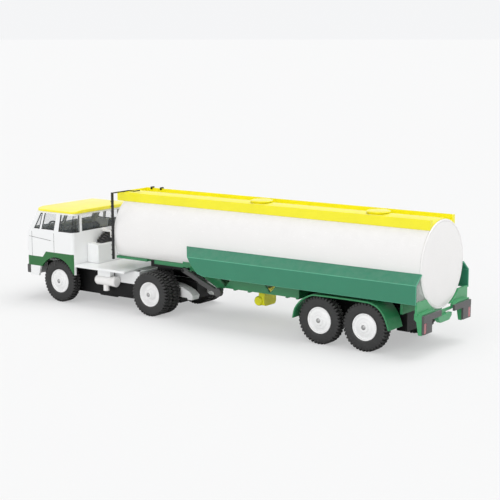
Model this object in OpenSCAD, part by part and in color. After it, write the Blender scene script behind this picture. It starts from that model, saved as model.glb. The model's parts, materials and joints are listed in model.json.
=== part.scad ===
// Articulated tank lorry, scale model: cab-over tractor with a tandem-axle tank semi-trailer.
// Millimetres. +X is the front, +Y the vehicle's left, +Z up. The ground is z = 0 and the origin
// lies on it, under the middle of the whole vehicle.

/* [Layout] */
// Front face of the bumper to the front axle
front_overhang = 26.2; // [25:0.1:29]
// Front axle to drive axle
wheel_base = 69.2; // [64:0.2:76]
// Drive axle to the leading trailer axle
trailer_base = 112.8; // [106:0.2:130]
// Distance between the two trailer axles
bogie_gap = 26.6; // [26:0.1:30]
// Trailing trailer axle to the rear face of the lamps
rear_overhang = 32.3; // [30:0.1:40]
// Width over the cab sides and over the trailer skirts
body_w = 57; // [56.6:0.1:59]
// King pin ahead of the drive axle
pin_lead = 4.4; // [2:0.1:5]

/* [Wheels] */
// Radius of every road tyre
tyre_r = 12.5; // [11.6:0.1:12.6]
// Width of a single tyre
tyre_w = 6; // [5.4:0.1:7]
// Width of one tyre of a twin pair
twin_w = 6.5; // [6:0.1:6.7]
// Gap between the tyres of a twin pair
twin_gap = 0.8; // [0.5:0.1:1]
// Outer radius of a rim
rim_r = 6.95; // [6.2:0.05:7.4]
// Outer faces of the tyres, inside the body sides
tyre_inset = 0.9; // [0.8:0.1:1.2]
// Radius of an axle rod
axle_r = 1.2; // [0.9:0.05:1.4]
// How far an axle rod stands out of its rim
axle_end = 0.3; // [0.1:0.05:0.4]

// Width of the spare wheel
spare_w = 5.4; // [5:0.1:5.6]

/* [Cab] */
// Length of the cab, front face to rear wall
cab_l = 38.2; // [37:0.1:41]
// Wall of the cab shell
cab_wall = 1.2; // [1:0.05:1.5]
// Height of the lower edge of the side panels
cab_hem_z = 20.3; // [19.5:0.1:21]
// Height of the lower edge of the front valance
valance_z = 14.3; // [13:0.1:15.5]
// Height of the belt line under the windows
belt_z = 41; // [40:0.1:42]
// Height of the window sills
sill_z = 42.6; // [42:0.1:44]
// Height of the window heads
head_z = 52.2; // [50:0.1:52.4]
// Height of the joint between cab shell and roof
eave_z = 53.2; // [53:0.1:55]
// Height of the crown of the roof
roof_z = 56.7; // [56:0.1:58.5]
// Slope of the windscreen, as a run back from belt to eave
screen_rake = 6.2; // [4:0.1:7]
// Narrowing of each cab side from belt to eave
tumble = 1.5; // [0.8:0.1:2]
// Thickness of the window panes
glass_t = 0.7; // [0.5:0.05:0.9]
// Radius of the wheel arch
arch_r = 14.2; // [13.4:0.1:14.4]
// Bumper ahead of the cab's front face
bumper_proud = 0.8; // [0.7:0.1:1.5]
// Height of the bumper bar
bumper_h = 5.4; // [4:0.1:5.6]

/* [Tractor] */
// Space between a front tyre and the side of the base
base_side = 2.4; // [2.2:0.1:4]
// Ground clearance of the base
base_z = 6.6; // [5.8:0.1:7.5]
// Wall of the base
base_wall = 1.5; // [1.2:0.1:2]
// Height of the top of the deck
deck_z = 23.6; // [23:0.1:24.2]
// Thickness of the deck
deck_t = 1.4; // [1:0.1:1.6]
// Rear edge of the deck ahead of the drive axle
deck_lead = 18.1; // [16:0.1:22]
// Half width of the deck
deck_half = 27.4; // [24:0.1:27.8]
// Radius of the side drum under the deck
drum_r = 3.1; // [2.7:0.1:3.5]
// Length of the side drum
drum_l = 16.2; // [14:0.1:18]
// Depth of the spare-wheel carrier, front to back
carrier_l = 8.8; // [8.4:0.1:10]
// Half width of the spare-wheel carrier
carrier_half = 16.5; // [14:0.1:19]
// Height of the spare-wheel carrier above the deck
carrier_h = 11.2; // [8:0.1:12]
// Radius of the fifth-wheel plate
plate_r = 11.5; // [9:0.1:12]
// Thickness of the fifth-wheel plate
plate_t = 1.6; // [1.2:0.1:1.8]
// Radius of the king pin
pin_r = 1.6; // [1.2:0.1:2]
// Radius of the screw holes for a display plinth
plinth_r = 1.3; // [1:0.05:1.6]
// Depth of the screw holes for a display plinth
plinth_d = 5; // [4:0.1:5.8]

/* [Tank] */
// Outer radius of the tank
tank_r = 22.45; // [21.5:0.05:22.6]
// Wall of the tank barrel
tank_wall = 1.2; // [1:0.05:1.6]
// Height of the tank's centre line
tank_z = 43.45; // [43.3:0.05:45]
// Front face of the tank ahead of the king pin
tank_lead = 26.6; // [24:0.1:28]
// Depth of the curve of each tank end
end_rise = 1.2; // [0.8:0.1:1.6]
// Half width of the catwalk
walk_half = 13.2; // [11:0.1:14]
// Height of the catwalk walls above the crown of the tank
walk_rise = 0.9; // [0.7:0.1:2]
// Wall of the catwalk
walk_wall = 0.9; // [0.7:0.05:1.2]
// Number of hatch lids
hatch_count = 2; // [1:1:3]
// Radius of a hatch lid
hatch_r = 6.2; // [4:0.1:7.5]

/* [Trailer frame] */
// Height of the underside of the gooseneck floor
neck_z = 29.3; // [29.2:0.1:30]
// Thickness of the gooseneck floor
neck_t = 1.4; // [1:0.1:1.6]
// Outer half width of the frame rails
rail_half = 19.4; // [18.4:0.1:19.6]
// Thickness of the frame rails
rail_t = 1.4; // [1.2:0.1:2]
// Height of the lower edge of the frame rails
rail_z = 20.5; // [20:0.1:20.7]
// Height of the lower edge of the skirts
skirt_z = 27.3; // [27.2:0.1:28.5]
// Height of the fold along the skirts
fold_z = 36.9; // [35.5:0.1:37.5]
// Thickness of the skirt sheet
skirt_t = 0.8; // [0.6:0.05:1]
// Thickness of the mudguard strip
guard_t = 0.8; // [0.6:0.05:0.8]
// Width of a mudguard strip
guard_w = 13.9; // [12:0.1:14]

/* [Landing gear] */
// Distance of the leg pivot behind the king pin
leg_lead = 26.8; // [26:0.1:28]
// Height of the leg pivot
leg_z = 28.3; // [28:0.1:28.4]
// Slope of the folded legs below the horizontal
leg_slope = 22; // [18:0.5:24]
// Radius of a foot roller
foot_r = 2.4; // [2:0.1:2.6]
// Height of the feet above the ground with the legs down
foot_clear = 0.3; // [0.2:0.05:0.6]
// Radius of the leg pivot rod
leg_rod_r = 0.8; // [0.6:0.05:0.8]

/* [Fits] */
// Running clearance of a rod in its bore, on the radius
run_gap = 0.05; // [0.02:0.01:0.1]
// Clearance between fixed pieces
fit_gap = 0.04; // [0.02:0.01:0.1]
// Clearance between pieces that move past each other
move_gap = 0.3; // [0.2:0.05:0.5]

/* [Hidden] */
$fn = 64;
tiny = 0.01;

overall_l = front_overhang + wheel_base + trailer_base + bogie_gap + rear_overhang;
front_x = overall_l / 2;
rear_x = -overall_l / 2;
steer_x = front_x - front_overhang;
drive_x = steer_x - wheel_base;
lead_x = drive_x - trailer_base;
trail_x = lead_x - bogie_gap;
pin_x = drive_x + pin_lead;
half_w = body_w / 2;
wheel_y = half_w - tyre_inset;
base_half = wheel_y - tyre_w - base_side;
twin_in_y = wheel_y - 2 * twin_w - twin_gap;
// A rim's lip stands inside its tyre's outer face, and the tip of its hub outside it
lip_in = 0.5;
hub_out = 0.5;
rod_half = wheel_y + hub_out + axle_end;

cab_front = front_x - bumper_proud;
cab_rear = cab_front - cab_l;
skirt_front = pin_x - 32.6;
skirt_rear = rear_x + 3.1;
tank_front = pin_x + tank_lead;
tank_rear = rear_x + 2.2;
crown_z = tank_z + tank_r;

// ---------- shared shapes ----------

// A plate with its outline in X and Z, between two values of Y
module side_plate(points, y0, y1)
  translate([0, y1, 0]) rotate([90, 0, 0]) linear_extrude(y1 - y0) polygon(points);

// A bar with its section in Y and Z, between two values of X
module section_bar(points, x0, x1)
  translate([x0, 0, 0]) rotate([90, 0, 90]) linear_extrude(x1 - x0) polygon(points);

module box(low, high)
  translate(low) cube(high - low);

module rod_y(x, z, r, y0, y1)
  translate([x, y0, z]) rotate([-90, 0, 0]) cylinder(r = r, h = y1 - y0);

module rod_x(y, z, r, x0, x1)
  translate([x0, y, z]) rotate([0, 90, 0]) cylinder(r = r, h = x1 - x0);

// A profile of radius and distance along the axle, turned about the axle
module turned(points)
  rotate([-90, 0, 0]) rotate_extrude() polygon(points);

module both_sides() {
  children();
  mirror([0, 1, 0]) children();
}

module on_side(side)
  if (side > 0) children(); else mirror([0, 1, 0]) children();

module rounded_rect(x0, x1, half, r) {
  translate([x0 + r, -half]) square([x1 - x0 - 2 * r, 2 * half]);
  translate([x0, -half + r]) square([x1 - x0, 2 * half - 2 * r]);
  for (x = [x0 + r, x1 - r], y = [-half + r, half - r])
    translate([x, y]) circle(r);
}

// ---------- wheels ----------

tyre_bore = rim_r + fit_gap;
rim_bore = axle_r + fit_gap;

function tyre_outline(w) = [
  [tyre_bore, -0.7], [tyre_bore + 0.7, -0.2], [tyre_bore + 2.2, 0], [tyre_r - 1.3, -0.1],
  [tyre_r - 0.3, -0.25], [tyre_r, -0.7], [tyre_r, 0.7 - w], [tyre_r - 0.3, 0.25 - w],
  [tyre_r - 1.3, 0.1 - w], [tyre_bore + 2.2, -w], [tyre_bore + 0.7, 0.2 - w], [tyre_bore, 0.7 - w]
];

rim_well = 0.9;
hub_r = axle_r + 1.5;

// Shallow domed disc in a raised lip
single_rim_outline = [
  [rim_bore, 1 - tyre_w], [hub_r, 1 - tyre_w], [hub_r, -2.2], [rim_r - rim_well, -2.4],
  [rim_r - rim_well, 1 - tyre_w], [rim_r, 1 - tyre_w], [rim_r, -lip_in], [rim_r - 0.55, -lip_in],
  [rim_r - 0.8, -lip_in - 0.5], [rim_r - 2.2, -lip_in - 0.2], [hub_r + 0.6, -0.3], [hub_r, -0.1],
  [hub_r - 0.4, hub_out], [rim_bore, hub_out]
];

// Deep dish that spans both tyres of a twin pair, with a standing hub
twin_span = 2 * twin_w + twin_gap;
dish_depth = 3.4;
twin_rim_outline = [
  [rim_bore, 1 - twin_span], [hub_r, 1 - twin_span], [hub_r, -dish_depth - 1.4],
  [rim_r - rim_well, -dish_depth - 1.4], [rim_r - rim_well, 1 - twin_span],
  [rim_r, 1 - twin_span], [rim_r, -lip_in], [rim_r - 0.55, -lip_in], [rim_r - 0.9, -lip_in - 0.7],
  [rim_r - 1.6, -dish_depth], [hub_r + 0.5, -dish_depth + 0.5], [hub_r, -1.1],
  [hub_r - 0.5, -0.6], [hub_r - 0.6, hub_out], [rim_bore, hub_out]
];

module tyre(x, side, face, w)
  color([0.21, 0.21, 0.22])
    on_side(side) translate([x, face, tyre_r]) turned(tyre_outline(w));

module rim(x, side, outline)
  color([0.95, 0.95, 0.94])
    on_side(side) translate([x, wheel_y, tyre_r]) turned(outline);

module axle_rod(x)
  color([0.72, 0.72, 0.73])
    rod_y(x, tyre_r, axle_r, -rod_half, rod_half);

module front_axle() axle_rod(steer_x);
module front_rim_left() rim(steer_x, 1, single_rim_outline);
module front_rim_right() rim(steer_x, -1, single_rim_outline);
module front_tyre_left() tyre(steer_x, 1, wheel_y, tyre_w);
module front_tyre_right() tyre(steer_x, -1, wheel_y, tyre_w);

module drive_axle() axle_rod(drive_x);
module drive_rim_left() rim(drive_x, 1, twin_rim_outline);
module drive_rim_right() rim(drive_x, -1, twin_rim_outline);
twin_inner_face = wheel_y - twin_w - twin_gap;
module drive_tyre_left_outer() tyre(drive_x, 1, wheel_y, twin_w);
module drive_tyre_left_inner() tyre(drive_x, 1, twin_inner_face, twin_w);
module drive_tyre_right_inner() tyre(drive_x, -1, twin_inner_face, twin_w);
module drive_tyre_right_outer() tyre(drive_x, -1, wheel_y, twin_w);

module trailer_axle_lead() axle_rod(lead_x);
module trailer_axle_trail() axle_rod(trail_x);

module rim_pair(x) {
  rim(x, 1, single_rim_outline);
  rim(x, -1, single_rim_outline);
}

module tyre_pair(x) {
  tyre(x, 1, wheel_y, tyre_w);
  tyre(x, -1, wheel_y, tyre_w);
}

module trailer_rims_lead() rim_pair(lead_x);
module trailer_rims_trail() rim_pair(trail_x);
module trailer_tyres_lead() tyre_pair(lead_x);
module trailer_tyres_trail() tyre_pair(trail_x);

// ---------- cab ----------

cab_corner = 2.4;
shoulder = 2.2;
valance_step = 3.2;
valance_l = 6.6;
panel_foot_z = 17.2;
corner_w = 2.6;
arch_x = steer_x + 1.1;

function cab_side(i) = [
  [cab_rear + i, 0], [cab_front - valance_step - i, 0], [cab_front - valance_step - i, cab_hem_z],
  [cab_front - i, cab_hem_z], [cab_front - i, belt_z - 2.6], [cab_front - shoulder - i, belt_z],
  [cab_front - shoulder - screen_rake - i, eave_z],
  [cab_front - shoulder - screen_rake * 1.2 - i, eave_z + 0.2 * (eave_z - belt_z)],
  [cab_rear + i, eave_z + 0.2 * (eave_z - belt_z)]
];

function cab_section(i) = [
  [-half_w + i, 0], [half_w - i, 0], [half_w - i, belt_z], [half_w - tumble - i, eave_z],
  [half_w - tumble * 1.2 - i, eave_z + 0.2 * (eave_z - belt_z)],
  [-half_w + tumble * 1.2 + i, eave_z + 0.2 * (eave_z - belt_z)],
  [-half_w + tumble + i, eave_z], [-half_w + i, belt_z]
];

// The outer form of the cab, moved inwards by i, between two heights
module cab_form(i, z0, z1)
  intersection() {
    translate([0, 0, z0]) linear_extrude(z1 - z0)
      rounded_rect(cab_rear + i, cab_front - i, half_w - i, cab_corner - i);
    side_plate(cab_side(i), -half_w, half_w);
    section_bar(cab_section(i), cab_rear, cab_front);
  }

// Side panes, each as run behind the cab front: sill front, sill rear, head rear, head front
door_panes = [[6.3, 11.1, 13.1, 11.3], [12.5, 22.8, 24.3, 14.5]];
corner_pane_front = 26.4;
corner_pane_y = 22.6;
rear_pane_half = 20.6;
screen_post = 0.7;
screen_half = 24.8;

module window_holes(g) {
  for (p = door_panes)
    both_sides() side_plate([
      [cab_front - p[0] - g, sill_z + g], [cab_front - p[1] + g, sill_z + g],
      [cab_front - p[2] + g, head_z - g], [cab_front - p[3] - g, head_z - g]
    ], half_w - 5, half_w + 1);
  both_sides() side_plate([
    [cab_front - corner_pane_front - g, sill_z - 0.4 + g], [cab_rear - 1, sill_z - 0.4 + g],
    [cab_rear - 1, head_z - g], [cab_front - corner_pane_front - 1 - g, head_z - g]
  ], corner_pane_y + g, half_w + 1);
  box([cab_rear - 1, -rear_pane_half + g, sill_z + g], [cab_rear + 4, rear_pane_half - g, head_z - g]);
  both_sides()
    box([cab_front - 12, screen_post + g, sill_z + g], [cab_front + 1, screen_half - g, head_z - g]);
}

// Everything that the lower body leaves free for the wheels and the chassis
module cab_underside() {
  rod_y(arch_x, tyre_r - 0.1, arch_r, -half_w - 1, half_w + 1);
  side_plate([
    [cab_front - valance_step - valance_l, 0], [cab_front - valance_step - valance_l, valance_z],
    [cab_front - valance_step - valance_l - 1.6, cab_hem_z],
    [arch_x + 4, cab_hem_z + 0.4], [arch_x - 4, panel_foot_z], [cab_rear - 1, panel_foot_z],
    [cab_rear - 1, 0]
  ], -half_w - 1, half_w + 1);
  box([cab_rear - 1, -base_half - 0.3, 0], [cab_front - 12, base_half + 0.3, deck_z + fit_gap]);
  box([cab_rear - 1, -half_w + corner_w, 0],
      [cab_rear + 2 * cab_wall, half_w - corner_w, deck_z + fit_gap]);
}

module cab_shell()
  color([0.95, 0.95, 0.95])
    difference() {
      cab_form(0, valance_z, eave_z);
      cab_form(cab_wall, valance_z - 1, eave_z + 1);
      cab_underside();
      window_holes(0);
    }

module cab_glazing()
  color([0.8, 0.85, 0.87, 0.4])
    intersection() {
      difference() {
        cab_form(0.25, belt_z, eave_z);
        cab_form(0.25 + glass_t, belt_z - 1, eave_z + 1);
      }
      window_holes(fit_gap);
    }

roof_brow = 1.2;
roof_side = 0.7;
roof_drop_y = 2.3;
roof_drop_x = 1.4;

// A cylinder whose crown falls by drop at half a span from its middle
function crown_r(half_span, drop) = (half_span * half_span + drop * drop) / (2 * drop);

module cab_roof() {
  x0 = cab_rear - roof_side;
  x1 = cab_front - shoulder - screen_rake + roof_brow;
  half = half_w - tumble + roof_side;
  mid = (x0 + x1) / 2;
  ry = crown_r(half, roof_drop_y);
  rx = crown_r((x1 - x0) / 2, roof_drop_x);
  color([0.97, 0.89, 0.2])
    difference() {
      intersection() {
        translate([0, 0, eave_z + fit_gap]) linear_extrude(roof_z - eave_z)
          rounded_rect(x0, x1, half, 4.5);
        translate([x0 - 1, 0, roof_z - ry]) rotate([0, 90, 0])
          cylinder(r = ry, h = x1 - x0 + 2, $fn = 200);
        translate([mid, -half - 1, roof_z - rx]) rotate([-90, 0, 0])
          cylinder(r = rx, h = 2 * half + 2, $fn = 200);
      }
      translate([0, 0, eave_z - 1]) linear_extrude(1.9)
        rounded_rect(cab_rear + 2, x1 - 3.4, half - 3.2, 3);
    }
}

floor_z = 27.8;
floor_t = 1.1;

module cab_interior() {
  rear = cab_rear + cab_wall + fit_gap;
  front = cab_front - cab_wall - fit_gap;
  color([0.22, 0.22, 0.22]) difference() {
    union() {
      box([rear, -half_w + 2.4, floor_z], [front - 3, half_w - 2.4, floor_z + floor_t]);
      box([rear, -base_half + 1, deck_z + fit_gap], [front - 8, base_half - 1, floor_z + tiny]);
      box([rear + 9, -5.5, floor_z + floor_t - tiny], [front - 5, 5.5, floor_z + 8]);
      side_plate([
        [front - 5.5, floor_z + floor_t - tiny], [front - 3, floor_z + floor_t - tiny],
        [front - 0.4, floor_z + 4], [front - 0.4, belt_z - 3.2], [front - 5, belt_z - 0.6],
        [front - 8, belt_z - 2.4]
      ], -half_w + 2.4, half_w - 2.4);
    }
    column(fit_gap);
  }
}

seat_y = 13.6;
seat_half = 6;

module seat(y)
  color([0.26, 0.26, 0.26])
    side_plate([
      [cab_rear + 5, floor_z + floor_t + fit_gap], [cab_rear + 16, floor_z + floor_t + fit_gap],
      [cab_rear + 16.6, floor_z + 6], [cab_rear + 7, floor_z + 6.8],
      [cab_rear + 5, floor_z + 19], [cab_rear + 3, floor_z + 19], [cab_rear + 3.6, floor_z + 6]
    ], y - seat_half, y + seat_half);

module driver_seat() seat(seat_y);
module passenger_seat() seat(-seat_y);

wheel_tilt = -35;
column_l = 5.4;
column_r = 0.9;

module on_column()
  translate([cab_front - 10.6, seat_y, belt_z + 1.2]) rotate([0, wheel_tilt, 0]) children();

// Steering column, let into the dash, grown by g
module column(g)
  on_column() translate([0, 0, -column_l - g]) cylinder(r = column_r + g, h = column_l + g);

module steering_wheel()
  color([0.16, 0.16, 0.16]) {
    on_column() {
      rotate_extrude() translate([4.6, 0]) circle(0.5, $fn = 20);
      cylinder(r = 1.1, h = 0.8, center = true);
      for (a = [90, 210, 330])
        rotate([0, 0, a]) translate([0, -0.35, -0.25]) cube([4.5, 0.7, 0.5]);
    }
    column(0);
  }

grille_half = 15;
grille_z = [cab_hem_z + 6.2, belt_z - 6.5];
bar_pitch = 1.4;
lamp_y = 20.6;
lamp_r = 3;

module front_grille()
  color([0.75, 0.76, 0.78]) {
    box([cab_front + fit_gap, -grille_half, grille_z[0]], [cab_front + 0.3, grille_half, grille_z[1]]);
    for (z = [grille_z[0] + 0.5 : bar_pitch : grille_z[1] - 0.5])
      box([cab_front + 0.25, -grille_half, z], [cab_front + 0.6, grille_half, z + bar_pitch / 2]);
  }

module headlamps()
  color([0.9, 0.91, 0.9])
    both_sides() rod_x(lamp_y, cab_hem_z + lamp_r + 0.3, lamp_r, cab_front + fit_gap, cab_front + 0.6);

bumper_reach = 3.7;
bumper_z = 15.3;

module front_bumper()
  color([0.3, 0.3, 0.29])
    translate([0, 0, bumper_z]) linear_extrude(min(bumper_h, cab_hem_z - fit_gap - bumper_z))
      difference() {
        rounded_rect(front_x - 12, front_x, half_w - 0.1, 1.8);
        translate([front_x - 13, -half_w - 1])
          square([13 - bumper_reach, body_w + 2]);
        translate([front_x - 12, -half_w + 1.4])
          square([12 - bumper_proud - valance_step + fit_gap, body_w - 2.8]);
        translate([front_x - 12, -half_w + 2.4])
          square([12 - 1.3, body_w - 4.8]);
      }

// ---------- tractor chassis ----------

base_top = 15;
base_high = deck_z - deck_t - fit_gap;
mid_x = cab_rear - 23.7;
wide_rear = drive_x + tyre_r + 1.3;
base_rear = drive_x - 10.9;
base_front = cab_front - 8.2;
narrow_half = twin_in_y - 1;
plinth_x = drive_x + 27;
hump_half = 4.6;
hump_z = 17.6;

module base_outer(i, z0, high, low) {
  box([mid_x + i, -base_half + i, z0], [base_front - i, base_half - i, high]);
  box([wide_rear + i, -base_half + i, z0], [mid_x + i + tiny, base_half - i, low]);
  box([base_rear + i, -narrow_half + i, z0], [wide_rear + i + tiny, narrow_half - i, low]);
}

module tractor_base()
  color([0.13, 0.13, 0.13])
    difference() {
      union() {
        difference() {
          base_outer(0, base_z, base_high, base_top);
          base_outer(base_wall, base_z + base_wall, base_high + 1, base_top + 1);
        }
        both_sides() rod_x(base_half - 3, base_z + 1.2, 2.6, cab_rear - 23, cab_rear - 11);
        translate([plinth_x, 0, base_z]) cylinder(r = plinth_r + 1.5, h = base_top - base_z);
        box([steer_x - 2.4, -base_half, base_z], [steer_x + 2.4, base_half, tyre_r - axle_r - 1.5]);
        box([drive_x - 2.4, -narrow_half, base_z], [drive_x + 2.4, narrow_half, tyre_r - axle_r - 1.5]);
        side_plate([
          [wide_rear - 0.5, base_top - 0.6], [wide_rear - 0.5, hump_z], [base_rear - 5.6, hump_z],
          [base_rear - 5.6, base_z + 4], [base_rear + base_wall, base_z + 4],
          [base_rear + base_wall, base_top - 0.6]
        ], -hump_half, hump_half);
      }
      rod_y(steer_x, tyre_r, axle_r + run_gap, -half_w, half_w);
      rod_y(drive_x, tyre_r, axle_r + run_gap, -half_w, half_w);
      translate([plinth_x, 0, base_z - 1]) cylinder(r = plinth_r, h = plinth_d + 1);
      rivet_shanks(fit_gap);
    }

rivet_x = cab_rear + 4;
rivet_z = base_z + 3.3;
keel_rivet_x = [steer_x + 8, drive_x + 18];

head_t = 0.4;

module rivet_shanks(g) {
  both_sides() rod_y(rivet_x, rivet_z, 0.4 + g, base_half - base_wall - g, base_half + head_t / 2);
  for (x = keel_rivet_x)
    translate([x, 0, base_z - head_t / 2]) cylinder(r = 0.9 + g, h = head_t / 2 + base_wall + g);
}

module base_rivets()
  color([0.8, 0.8, 0.8]) {
    rivet_shanks(0);
    both_sides() rod_y(rivet_x, rivet_z, 0.65, base_half + fit_gap / 2, base_half + head_t);
    for (x = keel_rivet_x)
      translate([x, 0, base_z - head_t]) cylinder(r = 1.7, h = head_t - fit_gap / 2);
  }

deck_rear = drive_x + deck_lead;
box_rear = wide_rear;
frame_foot = base_top + fit_gap;
drum_y = base_half + drum_r + 0.1;
drum_z = 15.8;
drum_front = cab_rear - 12.3;
saddle_half = 1.9;
foot_x = drum_front - drum_l * 0.48;
foot_l = 2.8;

tail_top = 17.3;
tail_in = 6.5;

// Side outline of a rear rail with its drooping tail
tail_outline = [
  [box_rear + 1, frame_foot], [box_rear + 1, tail_top], [drive_x - 3.6, tail_top],
  [drive_x - 10.2, tail_top - 1], [drive_x - 14, 15], [drive_x - 16.9, 13.9],
  [drive_x - 19.7, 11.5], [drive_x - 19.1, 9], [drive_x - 16.1, 9], [drive_x - 15.5, 10],
  [base_rear - fit_gap, 10], [base_rear - fit_gap, frame_foot]
];

module tractor_frame()
  color([0.94, 0.94, 0.94])
    difference() {
      union() {
        box([deck_rear, -deck_half, deck_z - deck_t], [cab_rear - fit_gap, deck_half, deck_z]);
        box([cab_rear - 1, -base_half + 0.3, deck_z - deck_t],
            [cab_front - 9, base_half - 0.3, deck_z]);
        both_sides() {
          box([box_rear, base_half - 1.3, frame_foot], [mid_x - fit_gap, base_half, deck_z - 1]);
          side_plate(tail_outline, tail_in, narrow_half);
          box([drum_front - 12.3, drum_y - saddle_half, drum_z + drum_r - 0.8],
              [drum_front - 2.7, drum_y + saddle_half, deck_z - 1]);
        }
        box([box_rear, -base_half, frame_foot], [box_rear + 1.3, base_half, deck_z - 1]);
        box([box_rear + 0.5, -narrow_half, deck_z - deck_t - 1.2],
            [deck_rear + 1, narrow_half, deck_z - 1]);
      }
      both_sides() rod_x(drum_y, drum_z, drum_r + fit_gap, drum_front - drum_l, drum_front + 1);
      box([spare_x - spare_w / 2 - 0.1, -tyre_r, 0], [spare_x + spare_w / 2 + 0.1, tyre_r, deck_z + 1]);
    }

module side_drum()
  color([0.96, 0.96, 0.96]) {
    translate([drum_front, drum_y, drum_z]) rotate([0, -90, 0]) rotate_extrude() polygon([
      [0, 0], [drum_r * 0.5, 0.2], [drum_r * 0.8, 0.8], [drum_r - 0.2, 1.7], [drum_r - 0.2, 2.2],
      [drum_r - 0.35, 2.3], [drum_r - 0.35, 2.5], [drum_r - 0.2, 2.6], [drum_r - 0.2, drum_l - 3.1],
      [drum_r - 0.6, drum_l - 2.9], [drum_r - 0.6, drum_l - 2.6], [drum_r, drum_l - 2.4],
      [drum_r, drum_l - 0.4], [drum_r - 0.5, drum_l], [0, drum_l]
    ]);
    translate([foot_x, drum_y, drum_z - drum_r - foot_l]) cylinder(r = 1.8, h = foot_l + 1.5);
  }

spare_x = cab_rear - 0.8 - spare_w / 2;
spare_z = deck_z + 4.3;
carrier_top = deck_z + carrier_h;

module spare_carrier()
  color([0.94, 0.94, 0.95])
    difference() {
      box([cab_rear - carrier_l, -carrier_half, deck_z + fit_gap],
          [cab_rear - fit_gap, carrier_half, carrier_top]);
      rod_x(0, spare_z, tyre_r + 0.1, spare_x - spare_w / 2 - 0.1, spare_x + spare_w / 2 + 0.1);
    }

module on_spare()
  translate([spare_x - spare_w / 2, 0, spare_z]) rotate([0, 0, 90]) children();

module spare_tyre()
  color([0.23, 0.23, 0.24]) on_spare() turned(tyre_outline(spare_w));

module spare_rim()
  color([0.24, 0.24, 0.25])
    on_spare() turned([
      [0, 0.8 - spare_w], [rim_r, 0.8 - spare_w], [rim_r, -0.4], [rim_r - 0.6, -0.4],
      [rim_r - 1, -1.6], [hub_r, -1.6], [hub_r - 0.4, -1], [0, -1]
    ]);

clip_y = [0.2, 3.4];
clip_t = 0.7;
clip_z = spare_z + tyre_r + fit_gap;
clip_x = spare_x - spare_w / 2 - 0.1;

// Tab from the cab's rear wall over the tread and down the side of the spare wheel
module spare_clip()
  color([0.95, 0.95, 0.95])
    side_plate([
      [cab_rear - fit_gap, clip_z + 1.4], [clip_x - clip_t, clip_z + 1.4],
      [clip_x - clip_t, clip_z - 3.2], [clip_x, clip_z - 3.2], [clip_x, clip_z],
      [cab_rear - fit_gap, clip_z]
    ], clip_y[0], clip_y[1]);

plate_z = neck_z - 2.2 - move_gap - plate_t;

module fifth_wheel()
  color([0.16, 0.16, 0.16])
    difference() {
      union() {
        translate([pin_x, 0, plate_z]) cylinder(r = plate_r, h = plate_t);
        both_sides()
          side_plate([
            [pin_x - 7, tail_top + fit_gap], [pin_x + 7, tail_top + fit_gap],
            [pin_x + 4, plate_z + plate_t / 2], [pin_x - 4, plate_z + plate_t / 2]
          ], tail_in, tail_in + 2.4);
      }
      translate([pin_x, 0, plate_z - 1]) cylinder(r = pin_r + run_gap, h = plate_t + 2);
    }

// ---------- tank ----------

barrel_front = tank_front - end_rise - 0.6;
barrel_rear = tank_rear + end_rise + 0.6;
belly_z = neck_z + neck_t + fit_gap;
nose_x = pin_x - 29;
nose_run = 19.5;
nose_slope = (belly_z - tank_z + tank_r) / nose_run;

// Space under the front of the tank, taken by the gooseneck
module gooseneck_space(drop)
  side_plate([
    [tank_front + 5, 0], [tank_front + 5, belly_z - drop], [nose_x, belly_z - drop],
    [nose_x - belly_z / nose_slope, -drop], [nose_x, -20]
  ], -half_w, half_w);

module tank_barrel()
  color([0.95, 0.95, 0.94])
    difference() {
      rod_x(0, tank_z, tank_r, barrel_rear, barrel_front);
      rod_x(0, tank_z, tank_r - tank_wall, barrel_rear - 1, barrel_front + 1);
      gooseneck_space(0);
    }

// A tank end: a dished disc with a rim, standing on the plane x = 0 and facing +X
module tank_end(gap)
  rotate([0, 90, 0]) rotate_extrude() polygon([
    [0, -1.6], [tank_r - tank_wall - gap, -1.6], [tank_r - tank_wall - gap, 0], [tank_r, 0],
    [tank_r, 0.4], [tank_r - 0.15, 0.75], [tank_r - 0.7, 0.95], [tank_r * 0.7, 0.6 + end_rise * 0.75],
    [tank_r * 0.35, 0.6 + end_rise * 0.95], [0, 0.6 + end_rise]
  ]);

module tank_front_end()
  color([0.95, 0.95, 0.94])
    difference() {
      translate([barrel_front + fit_gap / 2, 0, tank_z]) tank_end(fit_gap);
      gooseneck_space(0);
    }

module tank_rear_end()
  color([0.93, 0.93, 0.91])
    translate([barrel_rear - fit_gap / 2, 0, tank_z]) mirror([1, 0, 0]) tank_end(fit_gap);

walk_front = tank_front + 3.9;
walk_rear = barrel_rear + 0.3;
walk_top = crown_z + walk_rise;
walk_skin = 0.4;
post_w = 2.4;

module catwalk()
  color([0.97, 0.88, 0.2])
    difference() {
      intersection() {
        union() {
          rod_x(0, tank_z, tank_r + walk_skin, walk_rear, walk_front);
          both_sides()
            box([walk_rear, walk_half - walk_wall, tank_z], [walk_front, walk_half, walk_top]);
          both_sides()
            box([walk_rear, walk_half - post_w, tank_z], [walk_rear + walk_wall, walk_half, walk_top]);
          box([walk_front - walk_wall, -walk_half, tank_z], [walk_front, walk_half, walk_top - 0.1]);
        }
        box([walk_rear, -walk_half, tank_z + 10], [walk_front, walk_half, walk_top + 1]);
      }
      rod_x(0, tank_z, tank_r + fit_gap, walk_rear - 1, walk_front + 1);
    }

hatch_pitch = 73;
hatch_base = crown_z + walk_skin;
hatch_mid = (tank_front + tank_rear) / 2 - 25.25;

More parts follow.
